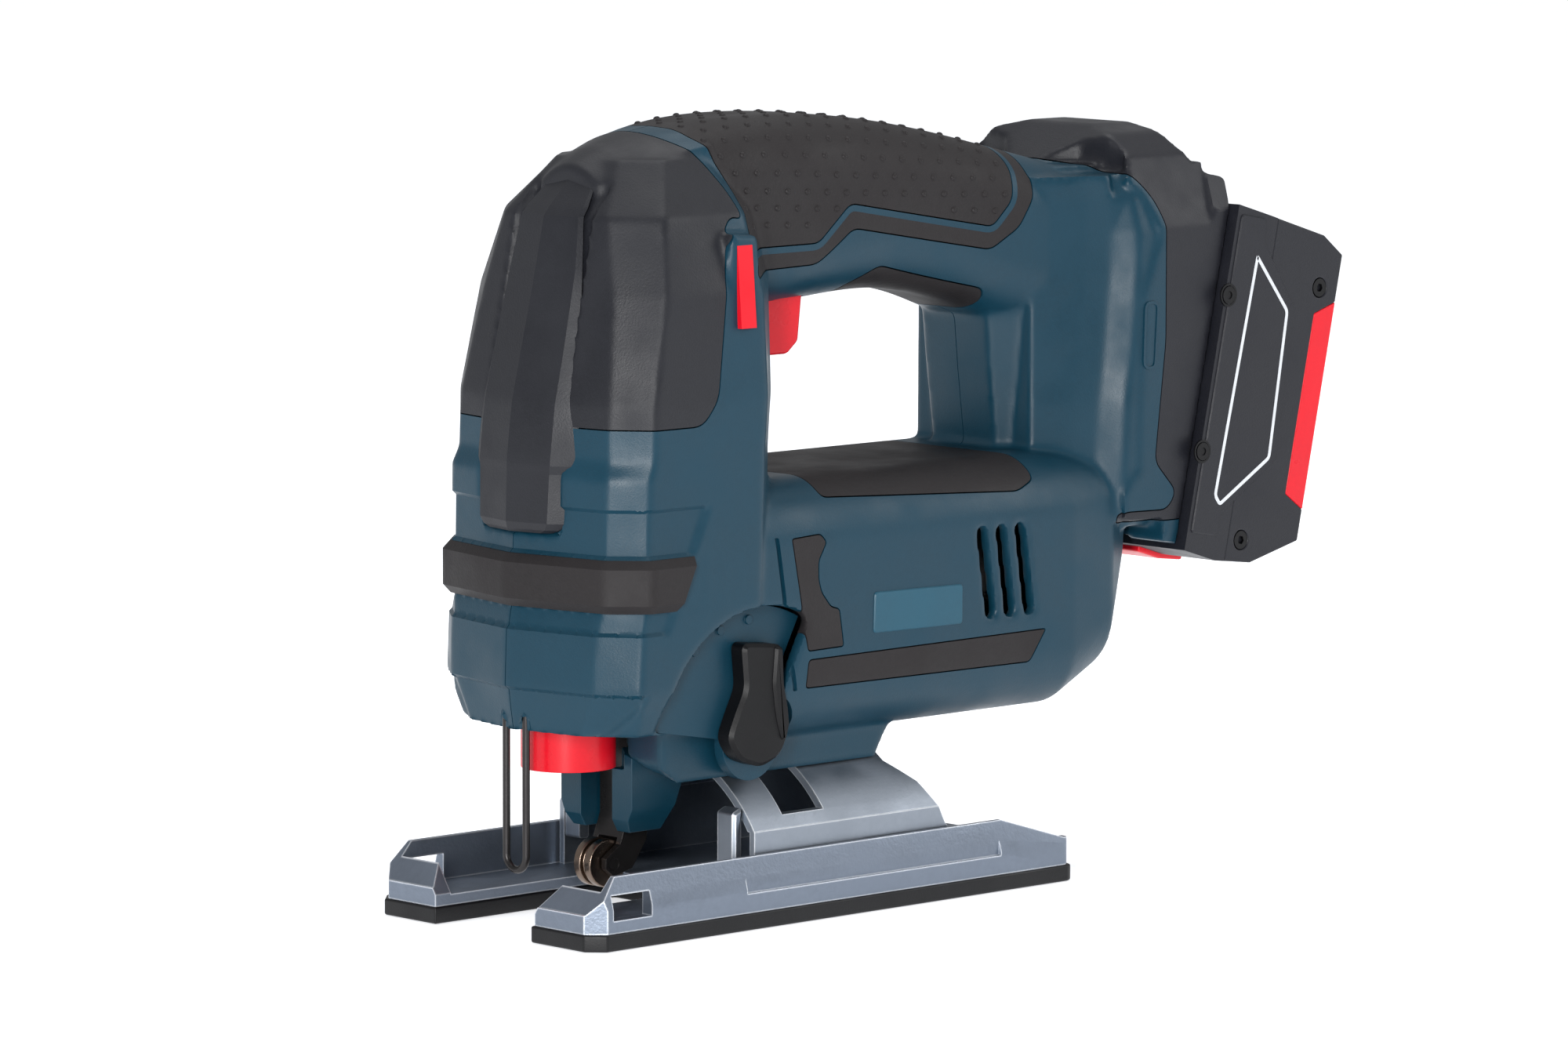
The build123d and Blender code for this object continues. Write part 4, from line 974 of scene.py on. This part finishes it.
def front_screw(place, side):
    """The rim, the head and the bottom of one screw's hollow."""
    pieces = []
    for radius, width, inner, outer in SCREW_RINGS:
        outline = circle(place, radius, SCREW_STEPS)
        pieces.append(outline_ring("ring", outline, width, inner, outer, side))
    radius, inner, outer, edge = SCREW_FLOOR
    pieces.append(plate("bottom", circle(place, radius, SCREW_STEPS), inner, outer, edge, side))
    return pieces


def build_pack_detail():
    """On each side: a panel, a plain pale outline and two screws on the pack, a latch on the flange."""
    for side, name in SIDES:
        panel = raised_plate(f"pack_panel_{name}", SIDE_PANEL, PANEL_PLATE, side)
        finish_piece(panel, "battery", "dark_frame")
        label = raised_line(f"pack_outline_{name}", LABEL, LABEL_LINE, side)
        finish_piece(label, "battery", "dark_frame", look="pale_print")
        screws = [piece for place in FRONT_SCREWS for piece in front_screw(place, side)]
        screws = joined(f"front_screws_{name}", screws)
        finish_piece(screws, "battery", "zinc_screw", look="black_plastic")
        latch = raised_line(f"flange_slot_{name}", LATCH, LATCH_LINE, side)
        finish_piece(latch, "tool", "petrol_housing")
    paint(NODES["pack_screws"], "black_plastic")


# ---------------------------------------------------------------- plates and lugs
NAME_PLATE = ((15.9, 75.9), (45.4, 75.4), (45.4, 65.7), (15.6, 66.0))
NAME_PLATE_SHAPE = (1.0, 33.0, 33.95, 0.25)
SADDLE_LUG = ((-26.6, 14.0), (-23.6, 14.0), (-23.6, 27.6), (-26.6, 26.4))
SADDLE_LUG_SHAPE = (0.8, 24.5, 30.2, 0.7)


def build_name_plate():
    """A blank plate on each side of the barrel."""
    for side, name in SIDES:
        blank = raised_plate(f"blank_plate_{name}", NAME_PLATE, NAME_PLATE_SHAPE, side)
        finish_piece(blank, "tool", "petrol_housing", look="plate_tone")


def build_base_detail():
    """The lugs that stiffen the saddle's front end, clear of the head's swing."""
    for side, name in SIDES:
        lug = raised_plate(f"saddle_lug_{name}", SADDLE_LUG, SADDLE_LUG_SHAPE, side)
        finish_piece(lug, "base", "saddle_steel")


add_camera()
add_stage()
finish_nodes()
grip_rubber = build_body()
build_bumper()
build_shield()
build_bumps(grip_rubber)
build_lever()
build_pack_detail()
build_name_plate()
build_base_detail()
